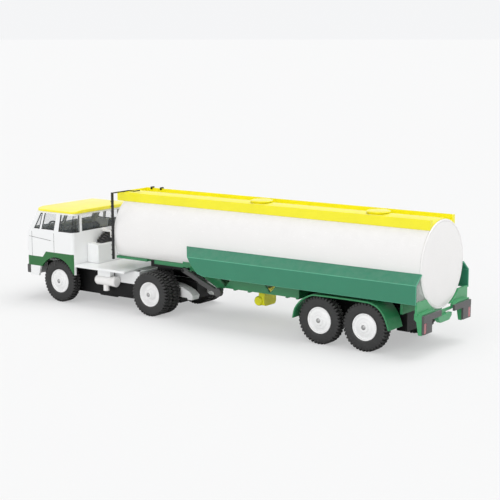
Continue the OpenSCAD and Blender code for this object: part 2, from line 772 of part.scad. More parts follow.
module hatch_lids()
  color([0.97, 0.87, 0.15])
    for (i = [0 : hatch_count - 1])
      translate([hatch_mid + (i - (hatch_count - 1) / 2) * hatch_pitch, 0, 0])
        difference() {
          translate([0, 0, tank_z]) rotate_extrude() polygon([
            [0, 20], [hatch_r - 0.6, 20], [hatch_r - 0.6, hatch_base - tank_z + 0.2],
            [hatch_r, hatch_base - tank_z + 0.2], [hatch_r, hatch_base - tank_z + 0.8],
            [hatch_r - 0.8, hatch_base - tank_z + 1.2], [0, hatch_base - tank_z + 1.2]
          ]);
          rod_x(0, tank_z, tank_r + walk_skin + fit_gap, -10, 10);
        }

pole_t = 1.1;
pole_y = tank_r + fit_gap;
pole_x = tank_front - 1.6;
pole_foot = neck_z - 0.2;
pole_top = walk_top + 0.7;
bar_t = 0.6;
peg_pitch = 2.8;
hook_l = 4.4;
hook_y = [4.6, 9.2];

// Stepped pole in front of the tank, hooked over the catwalk wall
module front_ladder()
  color([0.12, 0.12, 0.12]) {
    box([pole_x, pole_y, pole_foot], [pole_x + pole_t, pole_y + pole_t, pole_top]);
    for (i = [0 : 11])
      box([pole_x - 0.25, pole_y + 0.2, neck_z + 2 + i * peg_pitch],
          [pole_x + pole_t + 0.6, pole_y + pole_t - 0.2, neck_z + 2.6 + i * peg_pitch]);
    box([pole_x + 0.2, hook_y[1] - bar_t, pole_top - bar_t],
        [pole_x + pole_t - 0.2, pole_y + 0.5, pole_top]);
    box([pole_x - hook_l, hook_y[1] - bar_t, pole_top - bar_t], [pole_x + 0.5, hook_y[1], pole_top]);
    box([pole_x - hook_l, hook_y[0], pole_top - bar_t], [pole_x - hook_l + bar_t, hook_y[1], pole_top]);
  }

side_ladder_x = [tank_front - 7.9, tank_front - 0.8];
side_ladder_r = tank_r + 0.25;
side_angle = [-32.5, 53.9];
stile_t = 0.8;
rung_r = 0.3;

// Upright strip curved round the tank's right side
module ladder_arc(x)
  translate([x - stile_t / 2, 0, tank_z]) rotate([0, 90, 0]) rotate([0, 0, 270 - side_angle[1]])
    rotate_extrude(angle = side_angle[1] - side_angle[0])
      translate([side_ladder_r, 0]) square([stile_t, stile_t]);

// Ladder up the tank's right side, curved with the tank and hooked over the catwalk wall
module side_ladder()
  color([0.12, 0.12, 0.12]) {
    for (x = side_ladder_x) {
      ladder_arc(x);
      section_bar([
        [-walk_half - 0.1, walk_top - 5.2], [-walk_half - 0.1, walk_top + 0.05],
        [-walk_half + walk_wall + 0.1, walk_top + 0.05], [-walk_half + walk_wall + 0.1, walk_top - 0.9],
        [-walk_half + walk_wall + 0.9, walk_top - 0.9], [-walk_half + walk_wall + 0.9, walk_top + 0.75],
        [-walk_half - 0.9, walk_top + 0.75], [-walk_half - 0.9, walk_top - 5.2]
      ], x - stile_t / 2, x + stile_t / 2);
    }
    for (a = [side_angle[0] + 5 : 12 : side_angle[1]])
      rod_x(-(side_ladder_r + stile_t / 2) * cos(a), tank_z + (side_ladder_r + stile_t / 2) * sin(a),
            rung_r, side_ladder_x[0], side_ladder_x[1]);
  }

// ---------- trailer frame ----------

saddle_x = [pin_x - 58, pin_x - 67.5, pin_x - 92, lead_x + 18.7];
saddle_t = 1.4;
guard_top = 2 * tyre_r + move_gap + guard_t;
step_front = lead_x + 17.4;
step_rear = trail_x - 15.8;
step_z = guard_top + fit_gap;
notch_x = [pin_x - 51.8, pin_x - 81.3];
coupler_rear = pin_x - 24.5;
flange_front = pin_x + 0.5;
pin_plate = [2.5, 6];
neck_step = pin_x + 3.5;
neck_in = 2.1;
coupler_half = rail_half - neck_in - 2 * fit_gap;
flange_z = neck_z - 0.8;
post_l = 2.3;
notch_half = 4;
notch_z = [rail_z + 0.5, rail_z + 5.2];
apron_t = 1.2;
apron_z = [22, 28.4];

rail_outline = [
  [pin_x - 22.5, neck_z], [nose_x + 0.8, neck_z - 1.2], [nose_x - nose_run + 0.5, rail_z],
  [step_front, rail_z], [step_front, step_z], [step_rear, step_z], [step_rear, rail_z],
  [step_rear - saddle_t, rail_z], [step_rear - saddle_t, tank_z - 9], [pin_x - 22.5, tank_z - 9]
];

module trailer_frame()
  color([0.27, 0.54, 0.42])
    difference() {
      union() {
        box([neck_step, -rail_half, neck_z], [tank_front - 0.3, rail_half, neck_z + neck_t]);
        box([nose_x, -rail_half + neck_in, neck_z], [neck_step + 1, rail_half - neck_in, neck_z + neck_t]);
        both_sides() {
          side_plate(rail_outline, rail_half - rail_t, rail_half);
          rod_y(pin_x - leg_lead, leg_z, leg_rod_r + 0.9, rail_half - rail_t, rail_half);
          box([pin_x - 22.5, rail_half - neck_in - tiny, flange_z + fit_gap],
              [flange_front - post_l - fit_gap, rail_half - 0.2, neck_z + neck_t]);
        }
        side_plate([
          [nose_x + tiny, neck_z], [nose_x + tiny, neck_z + neck_t], [nose_x - nose_run, rail_z],
          [nose_x - nose_run - 1, rail_z - 0.8], [nose_x - nose_run + 2, rail_z - 0.8]
        ], -rail_half + tiny, rail_half - tiny);
        for (x = saddle_x)
          box([x - saddle_t / 2, -rail_half + tiny, rail_z - 0.7],
              [x + saddle_t / 2, rail_half - tiny, tank_z - 12]);
        box([step_rear - saddle_t, -rail_half + tiny, rail_z - 0.7],
            [step_rear, rail_half - tiny, tank_z - 12]);
      }
      both_sides()
        for (x = notch_x)
          side_plate([[x - notch_half, notch_z[1]], [x, notch_z[0]], [x + notch_half, notch_z[1]]],
                     rail_half - rail_t - 1, rail_half + 1);
      rod_x(0, tank_z, tank_r + fit_gap, skirt_rear - 5, nose_x - 0.5);
      translate([0, 0, -fit_gap]) difference() {
        rod_x(0, tank_z, tank_r + fit_gap, nose_x - 1, tank_front);
        gooseneck_space(fit_gap);
      }
      rod_y(pin_x - leg_lead, leg_z, leg_rod_r + fit_gap, -rail_half - 1, rail_half + 1);
    }

skirt_lip = 0.5;
skirt_top_y = sqrt(tank_r * tank_r - pow(fold_z + 4.8 - tank_z, 2));
skirt_join_z = fold_z + 4.8;

module skirt_sheet()
  difference() {
    section_bar([
      [skirt_top_y + 2 * fit_gap, skirt_join_z], [half_w, fold_z], [half_w, skirt_z],
      [half_w - skirt_t - skirt_lip, skirt_z], [half_w - skirt_t - skirt_lip, skirt_z + 0.4],
      [half_w - skirt_t, skirt_z + 0.4], [half_w - skirt_t, fold_z - 0.35],
      [skirt_top_y, skirt_join_z - skirt_t]
    ], skirt_rear, skirt_front + 6);
    rod_x(0, tank_z, tank_r + fit_gap, skirt_rear - 1, skirt_front + 7);
    side_plate([
      [skirt_front + 5, skirt_join_z + 0.1], [skirt_front, fold_z], [skirt_front - 1.9, fold_z - 3.3],
      [skirt_front - 6.9, fold_z - 8.6], [skirt_front - 11, skirt_z - 0.1],
      [skirt_front - 11, skirt_z - 5], [skirt_front + 12, skirt_z - 5], [skirt_front + 12, skirt_join_z + 5],
      [skirt_front + 5, skirt_join_z + 5]
    ], 0, half_w + 1);
  }

module skirt_left()
  color([0.27, 0.54, 0.42]) skirt_sheet();

module skirt_right()
  color([0.27, 0.54, 0.42]) mirror([0, 1, 0]) skirt_sheet();

// Ends of a mudguard strip, as run and rise from the nearer axle
guard_front = [[15.8, -0.4], [14.9, 4.3], [13.2, 7], [11, 9.4], [8.2, 11.4], [5, 12.9]];
guard_rear = [[-5, 12.9], [-8, 11.8], [-11.1, 8.9], [-13.4, 4.6], [-14.8, 0.2]];
guard_flat = 2.2;

function pulled_in(p, g) = p * (1 - g / norm(p));

// The same line with every corner cut back to the quarter points of its two sides
function eased(p) = concat(
  [p[0]],
  [for (i = [1 : len(p) - 2], t = [0.25, -0.25])
    t > 0 ? p[i] * (1 - t) + p[i - 1] * t : p[i] * (1 + t) - p[i + 1] * t],
  [p[len(p) - 1]]
);

function guard_line(g) = eased(concat(
  [for (p = guard_front) [lead_x, tyre_r] + pulled_in(p, g)],
  [[lead_x + guard_flat, guard_top - g], [trail_x - guard_flat, guard_top - g]],
  [for (p = guard_rear) [trail_x, tyre_r] + pulled_in(p, g)]
));

function reversed(list) = [for (i = [len(list) - 1 : -1 : 0]) list[i]];

module mudguard_strip()
  side_plate(concat(guard_line(0), reversed(guard_line(guard_t))), half_w - 0.1 - guard_w, half_w - 0.1);

module mudguard_left()
  color([0.27, 0.56, 0.43]) mudguard_strip();

module mudguard_right()
  color([0.27, 0.56, 0.43]) mirror([0, 1, 0]) mudguard_strip();

apron_half = half_w - skirt_t - skirt_lip - fit_gap;
bracket_y = [9, 25.6];
bracket_z = [19.6, 23];
cheek_z = 12;
lamp_t = 1.2;
lamp_box_y = [16.8, 25.4];
apron_rear = rear_x + lamp_t + fit_gap;

module rear_apron()
  color([0.24, 0.6, 0.4])
    difference() {
      union() {
        box([skirt_rear, -apron_half, apron_z[0]], [skirt_rear + apron_t, apron_half, apron_z[1]]);
        both_sides() {
          section_bar([
            [bracket_y[0], bracket_z[0]], [bracket_y[1], bracket_z[0]], [bracket_y[1], bracket_z[1] - 0.4],
            [bracket_y[0] + 5, bracket_z[1]], [bracket_y[0], bracket_z[1] - 1.4]
          ], apron_rear, skirt_rear + 0.5);
          side_plate([
            [apron_rear, bracket_z[1] - 0.4], [skirt_rear + 2.4, bracket_z[1] - 0.4],
            [skirt_rear + 2.4, bracket_z[0]], [skirt_rear + 1.2, bracket_z[0] - 1],
            [apron_rear + 1.9, cheek_z], [apron_rear, cheek_z]
          ], lamp_box_y[0] + 0.4, bracket_y[1]);
        }
        section_bar([
          [-7.3, 18.2], [-7.3, 16.6], [-4.6, 14.6], [4.6, 14.6], [7.3, 16.6], [7.3, 18.2]
        ], apron_rear + 0.4, skirt_rear + 0.9);
        box([skirt_rear, -3.4, 17.6], [skirt_rear + 0.9, 3.4, bracket_z[0] + 0.9]);
        box([skirt_rear, -bracket_y[0] - 1, bracket_z[0] - 0.6],
            [skirt_rear + 0.9, bracket_y[0] + 1, bracket_z[0] + 0.9]);
      }
      rod_x(0, tank_z, tank_r + 0.3, rear_x, skirt_rear + 3);
    }

bar_y = [7, 25.6];
bar_z = [18.8, 21.8];
lens_y = [22.6, 25.2];
lens_z = [12.8, 18.1];

module lamp_bar()
  difference() {
    union() {
      box([rear_x, bar_y[0], bar_z[0]], [rear_x + lamp_t, bar_y[1], bar_z[1]]);
      box([rear_x, lamp_box_y[0], cheek_z + 0.5], [rear_x + lamp_t, lamp_box_y[1], bar_z[0] + tiny]);
    }
    box([rear_x - 1, lens_y[0], lens_z[0]], [rear_x + 0.6, lens_y[1], lens_z[1]]);
  }

module lamp_bar_left()
  color([0.34, 0.34, 0.33]) lamp_bar();

module lamp_bar_right()
  color([0.34, 0.34, 0.33]) mirror([0, 1, 0]) lamp_bar();

module tail_lenses()
  color([0.6, 0.16, 0.22])
    both_sides()
      box([rear_x + 0.1, lens_y[0] + fit_gap, lens_z[0] + fit_gap],
          [rear_x + 0.6 - fit_gap, lens_y[1] - fit_gap, lens_z[1] - fit_gap]);

coupler_z = neck_z - 2.2;

module king_pin()
  color([0.14, 0.14, 0.14]) {
    box([coupler_rear, -coupler_half, coupler_z], [flange_front, coupler_half, neck_z - fit_gap]);
    box([flange_front - 1, -pin_plate[1], coupler_z],
        [flange_front + pin_plate[0], pin_plate[1], neck_z - fit_gap]);
    both_sides() {
      box([coupler_rear + 3, coupler_half - tiny, coupler_z], [flange_front, rail_half, flange_z]);
      box([flange_front - post_l, rail_half - neck_in + fit_gap, coupler_z],
          [flange_front - fit_gap, rail_half, neck_z + neck_t - 0.2]);
    }
    translate([pin_x, 0, plate_z - 0.8]) cylinder(r = pin_r, h = coupler_z - plate_z + 0.8 + tiny);
  }

pump_x = [pin_x - 69.4, pin_x - 65.6];
pump_y = [-3.8, 7.4];
pump_z = 10.3;
pump_round = 1.8;
drum_in_pump_z = pump_z + 2.7;

module discharge_pump()
  color([0.86, 0.78, 0.15]) {
    section_bar([
      [pump_y[0], rail_z - 0.8], [pump_y[0], pump_z + pump_round], [pump_y[0] + 0.5, pump_z + 0.5],
      [pump_y[0] + pump_round, pump_z], [pump_y[1] - pump_round, pump_z],
      [pump_y[1] - 0.5, pump_z + 0.5], [pump_y[1], pump_z + pump_round], [pump_y[1], rail_z - 0.8]
    ], pump_x[0], pump_x[1]);
    translate([pump_x[1], pump_y[1] + 1.1, drum_in_pump_z]) rotate([90, 0, 0]) rotate_extrude()
      polygon([[0, 0], [1.7, 0], [2.4, 0.4], [2.7, 1.1], [2.7, 8], [2.2, 9], [0, 9]]);
  }

bogie_half = 11.8;
bogie_z = 9.4;

module trailer_bogie()
  color([0.12, 0.12, 0.12])
    difference() {
      union() {
        box([step_rear + fit_gap, -bogie_half, bogie_z + 5],
            [saddle_x[3] - saddle_t / 2 - fit_gap, bogie_half, tank_z - tank_r - fit_gap]);
        for (x = [lead_x, trail_x])
          side_plate([
            [x - 8, bogie_z + 5 + tiny], [x - 5, bogie_z], [x + 5, bogie_z], [x + 8, bogie_z + 5 + tiny]
          ], -bogie_half, bogie_half);
        box([step_rear + fit_gap, -bogie_half, bogie_z], [step_rear + 6, bogie_half, bogie_z + 5 + tiny]);
      }
      for (x = [lead_x, trail_x])
        rod_y(x, tyre_r, axle_r + run_gap, -half_w, half_w);
      translate([(lead_x + trail_x) / 2, 0, 0]) cylinder(r = plinth_r, h = bogie_z + 5 + plinth_d);
    }

// ---------- landing gear ----------

leg_l = leg_z - foot_r - foot_clear;
leg_y = [22.8, 24.8];
leg_w = 2.2;
leg_x = pin_x - leg_lead;

module leg()
  translate([leg_x, 0, leg_z]) rotate([0, -leg_slope, 0]) {
    difference() {
      union() {
        box([-leg_l, leg_y[0], -leg_w / 2], [0, leg_y[1], leg_w / 2]);
        rod_y(0, 0, leg_w / 2, leg_y[0], leg_y[1]);
        rod_y(-leg_l, 0, foot_r, leg_y[0] - 0.3, leg_y[1] + 0.3);
        box([-leg_l * 0.8, leg_y[0] + 0.4, -leg_w / 2 - 0.7], [-leg_l * 0.45, leg_y[1] - 0.4, 0]);
      }
      rod_y(0, 0, leg_rod_r + run_gap, leg_y[0] - 1, leg_y[1] + 1);
    }
  }

module landing_legs()
  color([0.12, 0.12, 0.12]) both_sides() leg();

module landing_rod()
  color([0.3, 0.3, 0.3]) rod_y(leg_x, leg_z, leg_rod_r, -leg_y[1] - 0.2, leg_y[1] + 0.2);

cab_shell();
cab_roof();
cab_glazing();
cab_interior();
driver_seat();
passenger_seat();
steering_wheel();
front_grille();
headlamps();
front_bumper();
tractor_frame();
tractor_base();
base_rivets();
side_drum();
spare_carrier();
spare_rim();
spare_tyre();
spare_clip();
fifth_wheel();
front_axle();
front_rim_left();
front_rim_right();
front_tyre_left();
front_tyre_right();
drive_axle();
drive_rim_left();
drive_rim_right();
drive_tyre_left_outer();
drive_tyre_left_inner();
drive_tyre_right_inner();
drive_tyre_right_outer();
tank_barrel();
tank_front_end();
tank_rear_end();
catwalk();
hatch_lids();
front_ladder();
side_ladder();
trailer_frame();
skirt_left();
skirt_right();
mudguard_left();
mudguard_right();
rear_apron();
lamp_bar_left();
lamp_bar_right();
tail_lenses();
king_pin();
discharge_pump();
trailer_bogie();
landing_legs();
landing_rod();
trailer_axle_lead();
trailer_axle_trail();
trailer_rims_lead();
trailer_rims_trail();
trailer_tyres_lead();
trailer_tyres_trail();
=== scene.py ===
"""Dressing for a model road tanker: an articulated tractor with a two-axle tank trailer."""

import json
from math import atan2, cos, floor, hypot, pi, radians, sin

import bmesh
import bpy
from bpy.props import FloatProperty, FloatVectorProperty, IntProperty, PointerProperty
from mathutils import Matrix, Vector


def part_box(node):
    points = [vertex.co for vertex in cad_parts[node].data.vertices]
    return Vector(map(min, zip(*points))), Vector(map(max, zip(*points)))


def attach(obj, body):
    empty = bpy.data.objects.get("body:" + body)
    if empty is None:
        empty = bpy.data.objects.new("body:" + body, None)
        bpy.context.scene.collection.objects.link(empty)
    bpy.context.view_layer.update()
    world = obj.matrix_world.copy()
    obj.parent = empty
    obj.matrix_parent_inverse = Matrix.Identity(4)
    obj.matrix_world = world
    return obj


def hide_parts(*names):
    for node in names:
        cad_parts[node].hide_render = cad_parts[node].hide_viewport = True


bl_info = {
    "name": "Model Road Tanker",
    "version": (1, 0, 0),
    "blender": (4, 5, 0),
    "location": "View3D > Sidebar > Tanker",
    "description": "Dresses the frame of a model articulated road tanker",
    "category": "Object",
}

MM = 0.001
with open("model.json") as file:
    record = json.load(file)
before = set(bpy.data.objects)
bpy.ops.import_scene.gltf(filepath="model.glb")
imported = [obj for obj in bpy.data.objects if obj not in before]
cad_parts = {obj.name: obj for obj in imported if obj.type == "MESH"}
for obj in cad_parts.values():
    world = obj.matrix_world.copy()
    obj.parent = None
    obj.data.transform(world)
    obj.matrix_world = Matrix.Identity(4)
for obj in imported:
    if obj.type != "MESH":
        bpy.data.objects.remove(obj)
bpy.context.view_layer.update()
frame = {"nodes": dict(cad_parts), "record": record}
record = frame["record"]
BODY_OF = {node: body for body, nodes in record["behaviour"]["bodies"].items() for node in nodes}
SLOT_OF = {part["node"]: part["material_slot"] for part in record["subparts"]}


# ---------- places and sizes from the frame ----------

def low(node):
    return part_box(node)[0]


def high(node):
    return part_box(node)[1]


def middle(node):
    return (low(node) + high(node)) / 2


def extent(node):
    return high(node) - low(node)


def srgb(*channels):
    """A colour as a painter names it, as the linear values that a shader wants."""
    return tuple(c / 12.92 if c <= 0.04045 else ((c + 0.055) / 1.055) ** 2.4 for c in channels)


# ---------- what a user may change ----------

def colour(name, description, *channels):
    return FloatVectorProperty(
        name=name, description=description, subtype="COLOR", size=3, min=0, max=1, default=srgb(*channels)
    )


def length(name, description, millimetres):
    return FloatProperty(
        name=name, description=description, unit="LENGTH", min=0, precision=5, default=millimetres * MM
    )


class TankerPaint(bpy.types.PropertyGroup):
    enamel: colour("Cab white", "Enamel of the cab and the deck", 0.945, 0.95, 0.95)
    band: colour("Cab band", "Green of the band round the foot of the cab", 0.1, 0.41, 0.18)
    yellow: colour("Signal yellow", "Roof of the cab", 0.985, 0.935, 0.2)
    tank: colour("Tank white", "Barrel and ends of the tank", 0.94, 0.935, 0.93)
    walkway: colour("Walkway yellow", "Walkway and manhole lids", 0.965, 0.93, 0.09)
    skirt: colour("Skirt green", "Side skirts of the trailer", 0.13, 0.49, 0.365)
    # The fold green is a painted highlight: a lighter green on the skirt folds, where they catch the light.
    fold: colour("Fold highlight green", "Painted highlight along the folds of the skirts", 0.33, 0.66, 0.53)
    green: colour("Frame green", "Mudguards and frame of the trailer", 0.17, 0.51, 0.32)
    apron: colour("Apron green", "Apron at the tail of the trailer", 0.22, 0.6, 0.38)
    rubber: colour("Tyre rubber", "Every tyre", 0.165, 0.165, 0.165)
    # Chassis black is the undersides' own black, made darker still as painted shade for the shadow under
    # both vehicles.
    chassis: colour("Chassis black", "Undersides of both vehicles", 0.05, 0.05, 0.055)
    legs: colour("Leg grey", "Landing legs of the trailer", 0.25, 0.25, 0.25)
    cabin: colour("Cabin grey", "Floor, seats and engine cover", 0.2, 0.2, 0.21)
    trim: colour("Trim grey", "Bumper, lamp bars and grille", 0.31, 0.31, 0.31)
    rim: colour("Rim white", "Wheels of both vehicles", 0.95, 0.95, 0.95)
    steel: colour("Axle steel", "Axles and the landing rod", 0.66, 0.66, 0.66)
    pump: colour("Pump yellow", "Discharge pump under the tank", 0.94, 0.93, 0.04)
    lens: colour("Lens red", "Tail lamps", 0.6, 0.16, 0.22)
    glass: colour("Window tint", "Clear plastic of the cab windows", 0.72, 0.77, 0.78)


class TankerSizes(bpy.types.PropertyGroup):
    edge: length("Edge radius", "Rounding of moulded edges", 0.2)
    fold: length("Fold radius", "Rounding of the skirt folds and the roof", 0.45)
    lug_height: length("Lug height", "Height of a tread lug over its groove", 0.85)
    lugs: IntProperty(name="Lugs", description="Tread lugs along one shoulder", default=40, min=12, max=80)
    seal: length("Seal width", "Width of the seals round the cab windows", 0.6)
    seam: length("Seam width", "Width of the door seams", 0.22)


class TankerView(bpy.types.PropertyGroup):
    eye: FloatVectorProperty(
        name="Eye", description="Place of the camera", subtype="TRANSLATION", unit="LENGTH", size=3,
        default=(-0.412459, 0.555270, 0.154762),
    )
    aim: FloatVectorProperty(
        name="Aim", description="Point that the camera looks at", subtype="TRANSLATION", unit="LENGTH",
        size=3, default=(-0.00869, -0.00446, 0.03803),
    )
    roll: FloatProperty(
        name="Roll", description="Turn of the camera about its own axis", subtype="ANGLE", unit="ROTATION",
        default=radians(-0.09),
    )
    lens: FloatProperty(
        name="Lens", description="Focal length for a 36 mm sensor", subtype="DISTANCE_CAMERA", default=90.779
    )
    daylight: FloatProperty(
        name="Fill", description="Strength of the even studio light", min=0, default=0.52
    )
    softbox: FloatProperty(
        name="Softbox", description="Strength of the overhead light", min=0, default=1.55
    )
    side: FloatProperty(
        name="Side light", description="Strength of the light on the near side", min=0, default=1.05
    )
    shade: FloatProperty(
        name="Shade", description="Depth of the shadows on the floor", subtype="FACTOR", min=0, max=1,
        default=0.53,
    )


# ---------- shader groups ----------

def socket(group, name, kind="NodeSocketFloat", default=None, output=False):
    made = group.interface.new_socket(name, in_out="OUTPUT" if output else "INPUT", socket_type=kind)
    if default is not None:
        made.default_value = default
    return made


class Nodes:
    """Adds nodes to one tree and wires their inputs."""

    def __init__(self, tree):
        self.tree = tree

    def add(self, kind, wired=None, **settings):
        node = self.tree.nodes.new(kind)
        for key, value in settings.items():
            setattr(node, key, value)
        for key, value in (wired or {}).items():
            if isinstance(value, bpy.types.NodeSocket):
                self.tree.links.new(value, node.inputs[key])
            else:
                node.inputs[key].default_value = value
        return node

    def math(self, operation, a, b=0.0):
        return self.add("ShaderNodeMath", {0: a, 1: b}, operation=operation).outputs[0]

    def noise(self, vector, scale, detail=2.0, roughness=0.5):
        wired = {"Vector": vector, "Scale": scale, "Detail": detail, "Roughness": roughness}
        return self.add("ShaderNodeTexNoise", wired).outputs["Fac"]

    def spread(self, value, start, end, to_start=0.0, to_end=1.0):
        wired = {"Value": value, "From Min": start, "From Max": end, "To Min": to_start, "To Max": to_end}
        return self.add("ShaderNodeMapRange", wired, clamp=True).outputs["Result"]


def moulded_skin():
    """Faint ripple of a moulded or sprayed skin, and its slow drift of shade."""
    if "Moulded skin" in bpy.data.node_groups:
        return bpy.data.node_groups["Moulded skin"]
    group = bpy.data.node_groups.new("Moulded skin", "ShaderNodeTree")
    socket(group, "Ripple", default=0.5)
    socket(group, "Drift", default=0.5)
    socket(group, "Grain", default=0.2)
    socket(group, "Height", output=True)
    socket(group, "Shade", output=True)
    n = Nodes(group)
    given = n.add("NodeGroupInput").outputs
    place = n.add("ShaderNodeTexCoord").outputs["Object"]
    ripple = n.noise(place, n.math("DIVIDE", 1.0, n.math("MULTIPLY", given["Ripple"], MM)), 1.0)
    grain = n.noise(place, 7000.0, 3.0, 0.6)
    height = n.math("ADD", ripple, n.math("MULTIPLY", grain, given["Grain"]))
    slow = n.noise(place, n.math("DIVIDE", 1.0, n.math("MULTIPLY", given["Drift"], MM)), 3.0)
    n.add("NodeGroupOutput", {"Height": height, "Shade": n.spread(slow, 0.25, 0.75)})
    return group


def handling_marks():
    """Fine rubbed streaks and settled dust: a mask that is strongest on faces that look up."""
    if "Handling marks" in bpy.data.node_groups:
        return bpy.data.node_groups["Handling marks"]
    group = bpy.data.node_groups.new("Handling marks", "ShaderNodeTree")
    socket(group, "Streak", default=1.0)
    socket(group, "Dust", default=0.3)
    socket(group, "Rubbed", output=True)
    socket(group, "Dusty", output=True)
    n = Nodes(group)
    given = n.add("NodeGroupInput").outputs
    place = n.add("ShaderNodeTexCoord").outputs["Object"]
    stretched = n.add("ShaderNodeMapping", {"Vector": place, "Scale": (90.0, 900.0, 500.0)}).outputs[0]
    streaks = n.noise(stretched, 3.0, 4.0, 0.65)
    rubbed = n.math("MULTIPLY", n.spread(streaks, 0.52, 0.72), given["Streak"])
    normal = n.add("ShaderNodeNewGeometry").outputs["Normal"]
    upward = n.add("ShaderNodeSeparateXYZ", {0: normal}).outputs["Z"]
    patches = n.spread(n.noise(place, 260.0, 5.0, 0.7), 0.35, 0.7)
    dusty = n.math("MULTIPLY", n.math("MULTIPLY", n.spread(upward, 0.2, 0.9), patches), given["Dust"])
    n.add("NodeGroupOutput", {"Rubbed": rubbed, "Dusty": dusty})
    return group


def finish(name, tone, roughness, ripple=0.9, depth=0.03, drift=14.0, vary=0.03, streak=0.5, dust=0.1,
           grain=0.15, **constant):
    """A procedural finish: tone that drifts, roughness with rubbed streaks, rippled skin."""
    if name in bpy.data.materials:
        return bpy.data.materials[name]
    made = bpy.data.materials.new(name)
    made.use_nodes = True
    n = Nodes(made.node_tree)
    shader = made.node_tree.nodes["Principled BSDF"]
    skin = n.add("ShaderNodeGroup", node_tree=moulded_skin())
    skin.inputs["Ripple"].default_value = ripple
    skin.inputs["Drift"].default_value = drift
    skin.inputs["Grain"].default_value = grain
    marks = n.add("ShaderNodeGroup", node_tree=handling_marks())
    marks.inputs["Streak"].default_value = streak
    marks.inputs["Dust"].default_value = dust
    darker = [c * (1 - vary) for c in tone] + [1]
    lighter = [min(c * (1 + vary), 1) for c in tone] + [1]
    drifted = n.add(
        "ShaderNodeMix", {"Factor": skin.outputs["Shade"], "A": darker, "B": lighter}, data_type="RGBA"
    )
    wired = {"Factor": marks.outputs["Dusty"], "A": drifted.outputs["Result"], "B": (0.42, 0.41, 0.39, 1)}
    dusted = n.add("ShaderNodeMix", wired, data_type="RGBA")
    links = made.node_tree.links
    links.new(dusted.outputs["Result"], shader.inputs["Base Color"])
    soiled = n.math("MAXIMUM", marks.outputs["Rubbed"], marks.outputs["Dusty"])
    links.new(n.spread(soiled, 0.0, 1.0, roughness, min(roughness + 0.25, 1)), shader.inputs["Roughness"])
    wired = {"Strength": 1.0, "Distance": depth * MM, "Height": skin.outputs["Height"]}
    bump = n.add("ShaderNodeBump", wired)
    links.new(bump.outputs["Normal"], shader.inputs["Normal"])
    for key, value in constant.items():
        shader.inputs[key.replace("_", " ").title().replace("Ior", "IOR")].default_value = value
    return made


def clear_plastic():
    """Thin clear window plastic: open face on, and closing at a slant."""
    if "Clear pane" in bpy.data.materials:
        return bpy.data.materials["Clear pane"]
    made = bpy.data.materials.new("Clear pane")
    made.use_nodes = True
    n = Nodes(made.node_tree)
    shader = made.node_tree.nodes["Principled BSDF"]
    place = n.add("ShaderNodeTexCoord").outputs["Object"]
    haze = n.noise(place, 180.0, 3.0)
    tint = tuple(bpy.context.scene.tanker_paint.glass)
    dull = [c * 0.9 for c in tint] + [1]
    mixed = n.add("ShaderNodeMix", {"Factor": haze, "A": dull, "B": [*tint, 1]}, data_type="RGBA")
    links = made.node_tree.links
    links.new(mixed.outputs["Result"], shader.inputs["Base Color"])
    links.new(n.spread(haze, 0.3, 0.7, 0.03, 0.08), shader.inputs["Roughness"])
    slant = n.add("ShaderNodeLayerWeight", {"Blend": 0.5}).outputs["Facing"]
    links.new(n.spread(n.math("POWER", slant, 3.0), 0.0, 1.0, 0.05, 0.85), shader.inputs["Alpha"])
    wave = n.add("ShaderNodeBump", {"Strength": 1.0, "Distance": 0.02 * MM, "Height": haze})
    links.new(wave.outputs["Normal"], shader.inputs["Normal"])
    return made


def finish_of(slot):
    """The finish of a material slot of the record."""
    paint = bpy.context.scene.tanker_paint
    if slot == "cab_white":
        return finish(
            "Gloss enamel", paint.enamel, 0.28, streak=0.2, depth=0.02, vary=0.015, coat_weight=0.4,
            coat_roughness=0.1,
        )
    if slot == "signal_yellow":
        return finish("Yellow gloss", paint.yellow, 0.32, vary=0.04, coat_weight=0.3, coat_roughness=0.15)
    if slot == "clear_pane":
        return clear_plastic()
    if slot == "cabin_grey":
        return finish("Cabin moulding", paint.cabin, 0.5, grain=0.6, depth=0.05, vary=0.1)
    if slot == "cabin_black":
        return finish("Black moulding", [c * 0.4 for c in paint.cabin], 0.4, vary=0.1)
    if slot == "dark_trim":
        return finish("Dark trim", paint.trim, 0.42, grain=0.5, depth=0.05, vary=0.12)
    if slot == "bright_metal":
        return finish("Plated metal", (0.75, 0.75, 0.77), 0.16, vary=0.05, metallic=1.0)
    if slot == "chassis_black":
        # Near black with weak specular: black plastic, darkened further as painted shade under the vehicles.
        return finish(
            "Chassis moulding", paint.chassis, 0.45, grain=0.6, depth=0.06, vary=0.15, dust=0.06,
            specular_ior_level=0.25,
        )
    if slot == "plastic_white":
        return finish(
            "Tank gloss", paint.tank, 0.25, streak=0.15, depth=0.015, coat_weight=0.5, coat_roughness=0.06,
            vary=0.01,
        )
    if slot == "tyre_rubber":
        return finish(
            "Tyre rubber", paint.rubber, 0.62, ripple=0.35, depth=0.05, grain=0.9, vary=0.16, dust=0.18
        )
    if slot == "rim_white":
        return finish("Rim gloss", paint.rim, 0.3, coat_weight=0.3, coat_roughness=0.1, vary=0.015)
    if slot == "axle_steel":
        return finish("Drawn steel", paint.steel, 0.32, ripple=0.3, vary=0.12, streak=1.0, metallic=1.0)
    if slot == "ladder_black":
        # Taken from the chassis black, so it carries that painted shade too.
        return finish("Ladder black", [c * 0.7 for c in paint.chassis], 0.36, vary=0.12)
    if slot == "frame_green":
        return finish("Trailer green", paint.green, 0.33, vary=0.05, coat_weight=0.15, coat_roughness=0.15)
    if slot == "lens_red":
        return finish("Red lens", paint.lens, 0.12, vary=0.15, coat_weight=1.0, coat_roughness=0.03)
    if slot == "pump_yellow":
        return finish("Pump moulding", paint.pump, 0.35, vary=0.08)
    raise RuntimeError(f"no finish for slot {slot}")


# ---------- modelling tools ----------

